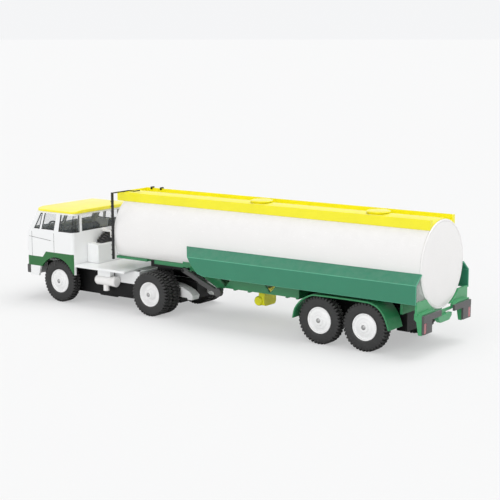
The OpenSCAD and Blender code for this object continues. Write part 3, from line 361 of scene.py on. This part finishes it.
def merged(node):
    """A CAD node's shape with whole faces in place of loose triangles."""
    bm = bmesh.new()
    bm.from_mesh(frame["nodes"][node].data)
    bmesh.ops.remove_doubles(bm, verts=bm.verts, dist=0.002 * MM)
    bmesh.ops.dissolve_limit(bm, angle_limit=radians(0.5), verts=bm.verts, edges=bm.edges)
    return bm


def turned(bm, outline, steps, place, closed=True):
    """Spins an outline of (radius, reach) points, in mm, about Y, and puts it in place."""
    verts = [bm.verts.new((r * MM, y * MM, 0)) for r, y in outline]
    pairs = list(zip(verts, verts[1:]))
    if closed:
        pairs.append((verts[-1], verts[0]))
    edges = [bm.edges.new(pair) for pair in pairs]
    known = set(bm.verts) - set(verts)
    bmesh.ops.spin(
        bm, geom=verts + edges, cent=(0, 0, 0), axis=(0, 1, 0), angle=2 * pi, steps=steps, use_merge=True
    )
    fresh = [v for v in bm.verts if v not in known]
    bmesh.ops.remove_doubles(bm, verts=fresh, dist=0.001 * MM)
    fresh = [v for v in bm.verts if v not in known]
    bmesh.ops.recalc_face_normals(bm, faces=list({f for v in fresh for f in v.link_faces}))
    bmesh.ops.transform(bm, matrix=place, verts=fresh)
    return fresh


def block(bm, corner_a, corner_b):
    """A box between two corners."""
    a, b = Vector(corner_a), Vector(corner_b)
    made = bmesh.ops.create_cube(bm, size=1)["verts"]
    bmesh.ops.scale(bm, vec=[abs(c) for c in b - a], verts=made)
    bmesh.ops.translate(bm, vec=(a + b) / 2, verts=made)
    return made


def wheel_place(x, side, reach, z):
    """Outer face of a wheel: +Y on the left of the vehicle and -Y on its right."""
    turn = Matrix.Identity(4) if side > 0 else Matrix.Rotation(pi, 4, "Z")
    return Matrix.Translation((x, side * reach, z)) @ turn


def add_piece(
    name, bm, body, finishes, stands_for=(), edge=0.0, segments=2, angle=30, highlight_edges=False
):
    """Makes one finished piece at the origin, on its body. When asked, the bevelled edges take the last
    finish, as a painted highlight.
    """
    mesh = bpy.data.meshes.new(name)
    bm.to_mesh(mesh)
    bm.free()
    for each in finishes:
        mesh.materials.append(each)
    mesh.shade_smooth()
    made = bpy.data.objects.new(name, mesh)
    bpy.context.scene.collection.objects.link(made)
    if edge > 0:
        rounded = made.modifiers.new("Rounded edges", "BEVEL")
        rounded.width = edge
        rounded.segments = segments
        rounded.limit_method = "ANGLE"
        rounded.angle_limit = radians(angle)
        rounded.use_clamp_overlap = True
        # Bevel faces may take the last finish, a painted highlight along the edges.
        rounded.material = len(finishes) - 1 if highlight_edges else -1
    even = made.modifiers.new("Even shading", "WEIGHTED_NORMAL")
    even.keep_sharp = False
    even.weight = 75
    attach(made, body)
    if stands_for:
        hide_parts(*stands_for)
    return made


def dressed(node, edge=None, segments=2, angle=30, skin=None):
    """Replaces a CAD node by its own shape with rounded edges and a real finish."""
    slot = SLOT_OF[node]
    width = bpy.context.scene.tanker_sizes.edge if edge is None else edge
    return add_piece(
        f"{node}_skin", merged(node), BODY_OF[node], [skin or finish_of(slot)], [node], width,
        segments, angle,
    )


def repaint(node):
    """Keeps a CAD node and gives it its finish."""
    for each in frame["nodes"][node].material_slots:
        each.material = finish_of(SLOT_OF[node])


# ---------- tractor cab ----------

class TANKER_OT_cab(bpy.types.Operator):
    """Cab shell with its green band, crowned roof, windows and seals"""

    bl_idname = "tanker.cab"
    bl_label = "Cab"

    def execute(self, context):
        self.shell(context)
        sizes = context.scene.tanker_sizes
        dressed("cab_roof", sizes.fold, 4)
        repaint("cab_glazing")
        self.seals(context)
        self.seams(context)
        return {"FINISHED"}

    def shell(self, context):
        bm = merged("cab_shell")
        front, rear = high("cab_shell").x, low("cab_shell").x
        hem = high("front_bumper").z + 0.04 * MM
        low_band, high_band = 5.7 * MM, 9.15 * MM
        step_foot, step_head = 13.3 * MM, 16 * MM
        rear_margin = 0.4 * MM
        valance_length = 11.5 * MM
        low_edge = Vector((front - step_foot, 0, hem + low_band))
        high_edge = Vector((front - step_head, 0, hem + high_band))
        rise = high_edge - low_edge
        across = Vector((rise.z, 0, -rise.x))
        back = Vector((rear + rear_margin, 0, 0))
        valance = Vector((front - valance_length, 0, 0))
        cuts = [
            (low_edge, (0, 0, 1)), (high_edge, (0, 0, 1)), (low_edge, across), (back, (1, 0, 0)),
            (Vector((0, 0, hem)), (0, 0, 1)),
        ]
        for point, normal in cuts:
            geom = bm.verts[:] + bm.edges[:] + bm.faces[:]
            bmesh.ops.bisect_plane(bm, geom=geom, dist=0.001 * MM, plane_co=point, plane_no=normal)
        for face in bm.faces:
            c = face.calc_center_median()
            under_edge = c.z < low_edge.z or (c.z < high_edge.z and (c - low_edge).dot(across) < 0)
            on_valance = c.z < hem and c.x > valance.x
            if c.x > back.x and under_edge and not on_valance:
                face.material_index = 1
        band = finish(
            "Band green", context.scene.tanker_paint.band, 0.35, vary=0.05, coat_weight=0.1,
            coat_roughness=0.15,
        )
        add_piece(
            "cab_shell_skin", bm, "tractor", [finish_of("cab_white"), band], ["cab_shell"],
            0.35 * MM, 3,
        )

    def seals(self, context):
        """Dark seals let into the window openings, over the rim of each pane."""
        bm = merged("cab_glazing")
        centre = middle("cab_shell")
        outer = [
            f for f in bm.faces
            if f.calc_area() > (2 * MM) ** 2 and (f.calc_center_median() - centre).dot(f.normal) > 0
        ]
        bmesh.ops.delete(bm, geom=[f for f in bm.faces if f not in outer], context="FACES")
        width = context.scene.tanker_sizes.seal
        bmesh.ops.inset_region(
            bm, faces=bm.faces[:], thickness=width, use_boundary=True, use_even_offset=True
        )
        inner = [f for f in bm.faces if not any(e.is_boundary for e in f.edges)]
        bmesh.ops.delete(bm, geom=inner, context="FACES")
        bmesh.ops.solidify(bm, geom=bm.faces[:], thickness=-0.18 * MM)
        add_piece("window_seals", bm, "tractor", [finish_of("cabin_black")])

    def seams(self, context):
        """Painted shade as dark strips: the shadow in the door grooves and the shadow line under the pressed
        bead below the windows; and the door handles.
        """
        front = high("cab_shell").x
        half = high("cab_shell").y
        gap = context.scene.tanker_sizes.seam
        sill = low("cab_glazing").z - 1.4 * MM
        band_top = high("front_bumper").z + 9.1 * MM
        front_foot, rear_foot = band_top - 3.4 * MM, band_top - 8 * MM
        front_gap, rear_gap = front - 4.7 * MM, front - 22.8 * MM
        cut, lift = 0.3 * MM, 0.02 * MM
        bead_front, bead_top, bead_height, bead_drop = front - 2.6 * MM, sill - 3 * MM, 0.25 * MM, 1.6 * MM
        grip_rear, grip_length = rear_gap + 0.3 * MM, 2.9 * MM
        grip_top, grip_height, grip_proud = sill - 4.5 * MM, 0.8 * MM, 0.16 * MM
        # Dark strips let into the shell as painted shade: the door grooves and the line under the bead.
        seam_shadows = bmesh.new()
        beads = bmesh.new()
        for side in (1, -1):
            sunk = side * (half - cut)
            proud = side * (half + lift)
            block(seam_shadows, (front_gap - gap / 2, sunk, front_foot), (front_gap + gap / 2, proud, sill))
            block(seam_shadows, (rear_gap - gap / 2, sunk, rear_foot), (rear_gap + gap / 2, proud, sill))
            # The pressed bead is drawn only as its dark shadow line, which is painted shade.
            bead_shadow = block(seam_shadows, (rear_gap, sunk, bead_top - bead_height), (bead_front, proud, bead_top))
            for vert in bead_shadow:
                if vert.co.x < (front_gap + rear_gap) / 2:
                    vert.co.z -= bead_drop
            block(
                beads, (grip_rear, sunk, grip_top - grip_height),
                (grip_rear + grip_length, side * (half + grip_proud), grip_top),
            )
        # The dark trim finish on these strips is painted shade.
        add_piece("painted_seam_shadows", seam_shadows, "tractor", [finish_of("dark_trim")])
        bead_finish = finish_of("cab_white")
        add_piece("door_beads", beads, "tractor", [bead_finish], edge=0.1 * MM)


class TANKER_OT_cabin(bpy.types.Operator):
    """Cabin floor with its engine cover, both seats and the steering wheel"""

    bl_idname = "tanker.cabin"
    bl_label = "Cabin"

    def execute(self, context):
        dressed("cab_interior", 0.5 * MM, 3)
        dressed("driver_seat", 0.9 * MM, 4)
        dressed("passenger_seat", 0.9 * MM, 4)
        dressed("steering_wheel", 0)
        return {"FINISHED"}


class TANKER_OT_cab_front(bpy.types.Operator):
    """Grille, headlamps and bumper"""

    bl_idname = "tanker.cab_front"
    bl_label = "Cab front"

    def execute(self, context):
        dressed("front_grille", 0.12 * MM)
        dressed("front_bumper", 0.4 * MM, 3)
        self.lamps()
        return {"FINISHED"}

    def lamps(self):
        """Each lamp is a bright ring round a ribbed lens."""
        bm = bmesh.new()
        radius = extent("headlamps").z / 2 / MM
        face = high("headlamps").x
        depth = extent("headlamps").x / MM
        lens_edge = radius - 0.55
        outline = [
            (0, -depth), (radius, -depth), (radius, -0.2), (radius - 0.15, 0), (radius - 0.4, 0),
            (lens_edge, -0.2), (lens_edge * 0.7, -0.1), (lens_edge * 0.35, -0.04), (0, -0.02),
        ]
        for side in (1, -1):
            y = side * (high("headlamps").y - radius * MM)
            place = Matrix.Translation((face, y, middle("headlamps").z)) @ Matrix.Rotation(-pi / 2, 4, "Z")
            turned(bm, outline, 48, place, closed=False)
        for f in bm.faces:
            c = f.calc_center_median()
            off = hypot(abs(c.y) - high("headlamps").y + radius * MM, c.z - middle("headlamps").z)
            if off < (lens_edge - 0.1) * MM and c.x > face - 0.3 * MM:
                f.material_index = 1
        lens = finish("Lamp lens", (0.8, 0.82, 0.8), 0.12, ripple=0.5, depth=0.12, coat_weight=1.0)
        finishes = [finish_of("bright_metal"), lens]
        add_piece("headlamps_skin", bm, "tractor", finishes, ["headlamps"], 0.08 * MM)


# ---------- tractor chassis ----------

class TANKER_OT_chassis(bpy.types.Operator):
    """Tractor frame and deck, black base, rivets, air drum and coupling plate"""

    bl_idname = "tanker.chassis"
    bl_label = "Tractor chassis"

    def execute(self, context):
        sizes = context.scene.tanker_sizes
        dressed("tractor_frame", 0.25 * MM, 3)
        dressed("tractor_base", sizes.edge)
        dressed("base_rivets", 0.2 * MM, 3)
        dressed("side_drum", 0.25 * MM, 3)
        dressed("fifth_wheel", 0.3 * MM, 3)
        return {"FINISHED"}


# ---------- wheels ----------

def tyre(bm, width, radius, place, context):
    """A tyre with plain side walls and staggered block lugs along both shoulders."""
    sizes = context.scene.tanker_sizes
    groove = radius - sizes.lug_height / MM
    bore = radius - 5.46
    half = [
        (bore, -0.75), (bore + 0.2, -0.35), (bore + 0.75, -0.12), (bore + 1.5, -0.02), (bore + 2.4, 0),
        (radius - 2.2, -0.04), (radius - 1.55, -0.12), (groove, -0.75), (groove, -0.43 * width),
    ]
    outline = half + [(groove - 0.12, -width / 2)] + [(r, -width - y) for r, y in reversed(half)]
    steps = 2 * sizes.lugs
    fresh = turned(bm, outline, steps, Matrix.Identity(4))
    lugs = []
    for f in {f for v in fresh for f in v.link_faces}:
        c = f.calc_center_median()
        off = hypot(c.x, c.z) / MM
        step = floor(atan2(c.z, c.x) / (2 * pi) * steps)
        reach = -c.y / MM
        outside = reach < 0.45 * width
        inside = reach > 0.55 * width
        if off > radius - 1.5 and (outside or inside) and step % 2 == int(inside):
            lugs.append(f)
    made = bmesh.ops.extrude_face_region(bm, geom=lugs)["geom"]
    raised = [v for v in made if isinstance(v, bmesh.types.BMVert)]
    grow = radius / groove
    bmesh.ops.scale(bm, vec=(grow, 1, grow), verts=raised)
    whole = list({*(v for v in fresh if v.is_valid), *raised})
    bmesh.ops.transform(bm, matrix=place, verts=whole)


def tyre_piece(nodes, wheels, context):
    """One piece for tyres on one body: wheels lists (x, side, outer face, width), in metres and mm."""
    bm = bmesh.new()
    radius = extent(nodes[0]).z / 2 / MM
    for x, side, reach, width in wheels:
        tyre(bm, width, radius, wheel_place(x, side, reach, middle(nodes[0]).z), context)
    add_piece(
        f"{nodes[0]}_skin", bm, BODY_OF[nodes[0]], [finish_of("tyre_rubber")], nodes,
        0.09 * MM, 1, 40,
    )


def shallow_rim(radius, width, bore):
    """Domed disc in a raised lip, with a small ring round the axle end."""
    return [
        (bore, 1 - width), (bore + 1.5, 1 - width), (bore + 1.5, -2.2), (radius - 0.9, -2.4),
        (radius - 0.9, 1 - width), (radius, 1 - width), (radius, -0.6), (radius - 0.1, -0.5),
        (radius - 0.5, -0.5), (radius - 0.6, -0.6), (radius - 0.75, -1.3), (radius - 1.05, -1.4),
        (radius - 2.4, -0.95), (bore + 2.8, -0.4), (bore + 1.9, -0.28), (bore + 1.55, -0.15),
        (bore + 1.3, 0.3), (bore + 1.05, 0.47), (bore + 0.2, 0.5), (bore, 0.4),
    ]


def dished_rim(radius, span, bore):
    """Deep dish that carries a pair of tyres, with a hub standing in it."""
    dish = 3.4
    return [
        (bore, 1 - span), (bore + 1.5, 1 - span), (bore + 1.5, -dish - 1.4), (radius - 0.9, -dish - 1.4),
        (radius - 0.9, 1 - span), (radius, 1 - span), (radius, -0.6), (radius - 0.1, -0.5),
        (radius - 0.45, -0.5), (radius - 0.65, -0.65), (radius - 0.9, -1.2), (radius - 1.35, -dish + 0.5),
        (radius - 1.7, -dish), (bore + 2, -dish + 0.45), (bore + 1.6, -1.3), (bore + 1.35, -0.9),
        (bore + 0.95, -0.5), (bore + 0.85, 0.3), (bore + 0.7, 0.5), (bore + 0.1, 0.5), (bore, 0.4),
    ]


def rim_piece(nodes, places, outline):
    bm = bmesh.new()
    for x, side in places:
        turned(bm, outline, 96, wheel_place(x, side, high("front_tyre_left").y, middle(nodes[0]).z))
    add_piece(
        f"{nodes[0]}_skin", bm, BODY_OF[nodes[0]], [finish_of("rim_white")], nodes,
        0.07 * MM, 2, 25,
    )


def axle_piece(node):
    """Steel rod with domed ends, worn bright."""
    bm = bmesh.new()
    radius = extent(node).z / 2 / MM
    half = high(node).y / MM
    dome = 0.6
    end = [(radius * sin(k * pi / 10), dome * (1 - cos(k * pi / 10))) for k in range(6)]
    outline = [(r, half - y) for r, y in end] + [(r, y - half) for r, y in reversed(end)]
    place = Matrix.Translation((middle(node).x, 0, middle(node).z))
    turned(bm, outline, 40, place, closed=False)
    steel = finish_of("axle_steel")
    add_piece(f"{node}_skin", bm, BODY_OF[node], [steel], [node], 0.05 * MM, 1)


class TANKER_OT_wheels(bpy.types.Operator):
    """Every road wheel: lugged tyres, moulded rims and steel axles"""

    bl_idname = "tanker.wheels"
    bl_label = "Road wheels"

    def execute(self, context):
        reach = high("front_tyre_left").y
        single = extent("front_tyre_left").y / MM
        twin = extent("drive_tyre_left_outer").y / MM
        inner_reach = high("drive_tyre_left_inner").y
        radius = extent("front_rim_left").z / 2 / MM
        bore = extent("front_axle").z / 2 / MM + 0.04
        steer, drive = middle("front_axle").x, middle("drive_axle").x
        lead, trail = middle("trailer_axle_lead").x, middle("trailer_axle_trail").x
        for hand, side in (("left", 1), ("right", -1)):
            tyre_piece([f"front_tyre_{hand}"], [(steer, side, reach, single)], context)
            tyre_piece([f"drive_tyre_{hand}_outer"], [(drive, side, reach, twin)], context)
            tyre_piece([f"drive_tyre_{hand}_inner"], [(drive, side, inner_reach, twin)], context)
            rim_piece([f"front_rim_{hand}"], [(steer, side)], shallow_rim(radius, single, bore))
            span = 2 * twin + (low("drive_tyre_left_outer").y - high("drive_tyre_left_inner").y) / MM
            rim_piece([f"drive_rim_{hand}"], [(drive, side)], dished_rim(radius, span, bore))
        for place, x in (("lead", lead), ("trail", trail)):
            pair = [(x, 1, reach, single), (x, -1, reach, single)]
            tyre_piece([f"trailer_tyres_{place}"], pair, context)
            rim_piece([f"trailer_rims_{place}"], [(x, 1), (x, -1)], shallow_rim(radius, single, bore))
        for node in ("front_axle", "drive_axle", "trailer_axle_lead", "trailer_axle_trail"):
            axle_piece(node)
        return {"FINISHED"}


class TANKER_OT_spare(bpy.types.Operator):
    """Spare wheel in its carrier behind the cab, with the clip that holds it"""

    bl_idname = "tanker.spare"
    bl_label = "Spare wheel"

    def execute(self, context):
        dressed("spare_carrier", 0.3 * MM, 3)
        dressed("spare_rim", 0.15 * MM)
        dressed("spare_clip", 0.15 * MM)
        bm = bmesh.new()
        width = extent("spare_tyre").x / MM
        radius = extent("spare_tyre").z / 2 / MM
        front = Matrix.Translation((low("spare_tyre").x, 0, middle("spare_tyre").z))
        place = front @ Matrix.Rotation(pi / 2, 4, "Z")
        tyre(bm, width, radius, place, context)
        add_piece(
            "spare_tyre_skin", bm, "tractor", [finish_of("tyre_rubber")], ["spare_tyre"],
            0.09 * MM, 1, 40,
        )
        return {"FINISHED"}


# ---------- tank ----------

class TANKER_OT_tank(bpy.types.Operator):
    """Tank barrel and its two pressed ends"""

    bl_idname = "tanker.tank"
    bl_label = "Tank"

    def execute(self, context):
        dressed("tank_barrel", 0.1 * MM)
        dressed("tank_front_end", 0.2 * MM, 3)
        self.rear_end()
        return {"FINISHED"}

    def rear_end(self):
        node = "tank_rear_end"
        bm = bmesh.new()
        radius = extent(node).z / 2 / MM
        rise = 2.4
        outline = [
            (0, -1.6), (radius - 1.3, -1.6), (radius - 1.3, 0), (radius, 0), (radius, 0.4),
            (radius - 0.1, 0.65), (radius - 0.3, 0.85), (radius - 0.75, 0.97), (radius - 0.85, 0.93),
            (radius - 0.95, 0.75), (radius - 1.15, 0.75), (radius - 1.25, 0.92), (radius - 1.35, 0.97),
        ]
        span = radius - 1.35
        dome = [span * (1 - k / 12) for k in range(1, 13)]
        outline += [(r, 0.97 + (rise - 0.97) * (1 - (r / span) ** 2)) for r in dome]
        back = low(node).x + rise * MM
        place = Matrix.Translation((back, 0, middle(node).z)) @ Matrix.Rotation(pi / 2, 4, "Z")
        turned(bm, outline, 128, place, closed=False)
        add_piece(f"{node}_skin", bm, "trailer", [finish_of("plastic_white")], [node])


class TANKER_OT_walkway(bpy.types.Operator):
    """Yellow walkway, manhole lids and ladders on the tank"""

    bl_idname = "tanker.walkway"
    bl_label = "Walkway and ladders"

    def execute(self, context):
        paint = context.scene.tanker_paint
        yellow = finish("Walkway gloss", paint.walkway, 0.34, vary=0.04, coat_weight=0.2)
        dressed("catwalk", 0.4 * MM, 3, skin=yellow)
        dressed("hatch_lids", 0.2 * MM, 3, skin=yellow)
        dressed("front_ladder", 0.12 * MM)
        dressed("side_ladder", 0.12 * MM)
        return {"FINISHED"}


# ---------- trailer ----------

class TANKER_OT_trailer(bpy.types.Operator):
    """Trailer frame, folded side skirts and mudguards"""

    bl_idname = "tanker.trailer"
    bl_label = "Trailer frame"

    def execute(self, context):
        sizes = context.scene.tanker_sizes
        dressed("trailer_frame", 0.2 * MM)
        for hand in ("left", "right"):
            self.skirt(context, hand)
            dressed(f"mudguard_{hand}", sizes.edge)
        return {"FINISHED"}

    def skirt(self, context, hand):
        """A folded skirt, with a lighter green on its bevelled folds as a painted highlight."""
        paint = context.scene.tanker_paint
        panel = finish("Skirt green", paint.skirt, 0.33, vary=0.05, coat_weight=0.25, coat_roughness=0.15)
        # Lighter green for the bevelled folds: a painted highlight.
        fold = finish("Fold highlight green", paint.fold, 0.33, vary=0.08, coat_weight=0.25, coat_roughness=0.15)
        node = f"skirt_{hand}"
        add_piece(
            f"{node}_skin", merged(node), "trailer", [panel, fold], [node], 0.3 * MM, 3, 20,
            highlight_edges=True,
        )


class TANKER_OT_tail(bpy.types.Operator):
    """Rear apron with its lamp bars and lenses"""

    bl_idname = "tanker.tail"
    bl_label = "Tail"

    def execute(self, context):
        apron = finish(
            "Apron green", context.scene.tanker_paint.apron, 0.33, vary=0.05, coat_weight=0.25,
            coat_roughness=0.15,
        )
        dressed("rear_apron", 0.25 * MM, 3, skin=apron)
        dressed("lamp_bar_left", 0.2 * MM)
        dressed("lamp_bar_right", 0.2 * MM)
        dressed("tail_lenses", 0.2 * MM, 3)
        return {"FINISHED"}


class TANKER_OT_underside(bpy.types.Operator):
    """King pin plate, discharge pump, bogie and landing gear"""

    bl_idname = "tanker.underside"
    bl_label = "Trailer underside"

    def execute(self, context):
        dressed("king_pin", 0.2 * MM)
        dressed("discharge_pump", 0.3 * MM, 3)
        dressed("trailer_bogie", 0.2 * MM)
        leg = finish("Leg moulding", context.scene.tanker_paint.legs, 0.42, grain=0.6, depth=0.06, vary=0.15)
        dressed("landing_legs", 0.2 * MM, 3, skin=leg)
        dressed("landing_rod", 0.1 * MM)
        return {"FINISHED"}


# ---------- stage ----------

class TANKER_OT_stage(bpy.types.Operator):
    """Pale floor, even studio light, overhead softbox and the camera"""

    bl_idname = "tanker.stage"
    bl_label = "Stage"

    def execute(self, context):
        view = context.scene.tanker_view
        self.floor(view.shade)
        self.sky(context)
        self.sun("Softbox", view.softbox, (-0.25, -0.3, 1.0), 50)
        self.sun("Side light", view.side, (-0.25, 0.9, 0.55), 60)
        self.camera(context)
        context.scene.view_settings.view_transform = "Standard"
        return {"FINISHED"}

    def floor(self, shade):
        bm = bmesh.new()
        bmesh.ops.create_grid(bm, x_segments=1, y_segments=1, size=60)
        mesh = bpy.data.meshes.new("floor")
        bm.to_mesh(mesh)
        bm.free()
        made = bpy.data.objects.new("floor", mesh)
        bpy.context.scene.collection.objects.link(made)
        paper = bpy.data.materials.new("Backdrop paper")
        paper.use_nodes = True
        n = Nodes(paper.node_tree)
        shader = paper.node_tree.nodes["Principled BSDF"]
        place = n.add("ShaderNodeTexCoord").outputs["Object"]
        fibre = n.spread(n.noise(place, 900.0, 2.0), 0.3, 0.7, 0.85, 0.86)
        tone = n.add("ShaderNodeCombineColor", {0: fibre, 1: fibre, 2: fibre}).outputs[0]
        links = paper.node_tree.links
        links.new(tone, shader.inputs["Base Color"])
        shader.inputs["Roughness"].default_value = 0.95
        shader.inputs["Specular IOR Level"].default_value = 0.0
        lit = n.add("ShaderNodeEmission", {"Color": (0.905, 0.908, 0.91, 1)}).outputs[0]
        seen = n.add("ShaderNodeLightPath").outputs["Is Camera Ray"]
        part = n.math("MULTIPLY", seen, 1 - shade)
        eased = n.add("ShaderNodeMixShader", {0: part, 1: shader.outputs[0], 2: lit}).outputs[0]
        links.new(eased, paper.node_tree.nodes["Material Output"].inputs["Surface"])
        mesh.materials.append(paper)

    def sky(self, context):
        world = bpy.data.worlds.new("Studio")
        context.scene.world = world
        world.use_nodes = True
        n = Nodes(world.node_tree)
        paths = n.add("ShaderNodeLightPath").outputs
        seen = n.math("MAXIMUM", paths["Is Camera Ray"], paths["Is Glossy Ray"])
        seen = n.math("MAXIMUM", seen, paths["Is Transmission Ray"])
        glow = context.scene.tanker_view.daylight
        wired = {"Factor": seen, "A": (glow, glow, glow * 1.01, 1), "B": (0.91, 0.915, 0.925, 1)}
        mixed = n.add("ShaderNodeMix", wired, data_type="RGBA").outputs["Result"]
        world.node_tree.links.new(mixed, world.node_tree.nodes["Background"].inputs["Color"])

    def sun(self, name, strength, towards, softness):
        light = bpy.data.lights.new(name, "SUN")
        light.energy = strength
        light.angle = radians(softness)
        made = bpy.data.objects.new(name, light)
        made.rotation_euler = Vector(towards).to_track_quat("Z", "Y").to_euler()
        bpy.context.scene.collection.objects.link(made)

    def camera(self, context):
        view = context.scene.tanker_view
        lens = bpy.data.cameras.new("Camera")
        lens.lens = view.lens
        lens.sensor_width = 36
        lens.clip_start = 0.01
        lens.clip_end = 200
        made = bpy.data.objects.new("Camera", lens)
        look = Vector(view.aim) - Vector(view.eye)
        turn = look.to_track_quat("-Z", "Y").to_matrix().to_4x4() @ Matrix.Rotation(view.roll, 4, "Z")
        made.matrix_world = Matrix.Translation(view.eye) @ turn
        bpy.context.scene.collection.objects.link(made)
        context.scene.camera = made


# ---------- add-on ----------

OPERATORS = (
    TANKER_OT_cab, TANKER_OT_cabin, TANKER_OT_cab_front, TANKER_OT_chassis, TANKER_OT_wheels,
    TANKER_OT_spare, TANKER_OT_tank, TANKER_OT_walkway, TANKER_OT_trailer, TANKER_OT_tail,
    TANKER_OT_underside, TANKER_OT_stage,
)


class VIEW3D_PT_tanker(bpy.types.Panel):
    """Sizes, colours and steps of the model road tanker"""

    bl_label = "Model Road Tanker"
    bl_space_type = "VIEW_3D"
    bl_region_type = "UI"
    bl_category = "Tanker"

    def draw(self, context):
        for group in (context.scene.tanker_paint, context.scene.tanker_sizes, context.scene.tanker_view):
            column = self.layout.column(align=True)
            for key in group.__annotations__:
                column.prop(group, key)
        for each in OPERATORS:
            self.layout.operator(each.bl_idname)


GROUPS = {"tanker_paint": TankerPaint, "tanker_sizes": TankerSizes, "tanker_view": TankerView}


def register():
    for each in (*GROUPS.values(), *OPERATORS, VIEW3D_PT_tanker):
        bpy.utils.register_class(each)
    for key, each in GROUPS.items():
        setattr(bpy.types.Scene, key, PointerProperty(type=each))


def unregister():
    for key in GROUPS:
        delattr(bpy.types.Scene, key)
    for each in (VIEW3D_PT_tanker, *OPERATORS, *GROUPS.values()):
        bpy.utils.unregister_class(each)


def main():
    register()
    bpy.ops.tanker.stage()
    bpy.ops.tanker.cab()
    bpy.ops.tanker.cabin()
    bpy.ops.tanker.cab_front()
    bpy.ops.tanker.chassis()
    bpy.ops.tanker.wheels()
    bpy.ops.tanker.spare()
    bpy.ops.tanker.tank()
    bpy.ops.tanker.walkway()
    bpy.ops.tanker.trailer()
    bpy.ops.tanker.tail()
    bpy.ops.tanker.underside()


if __name__ == "__main__":
    main()
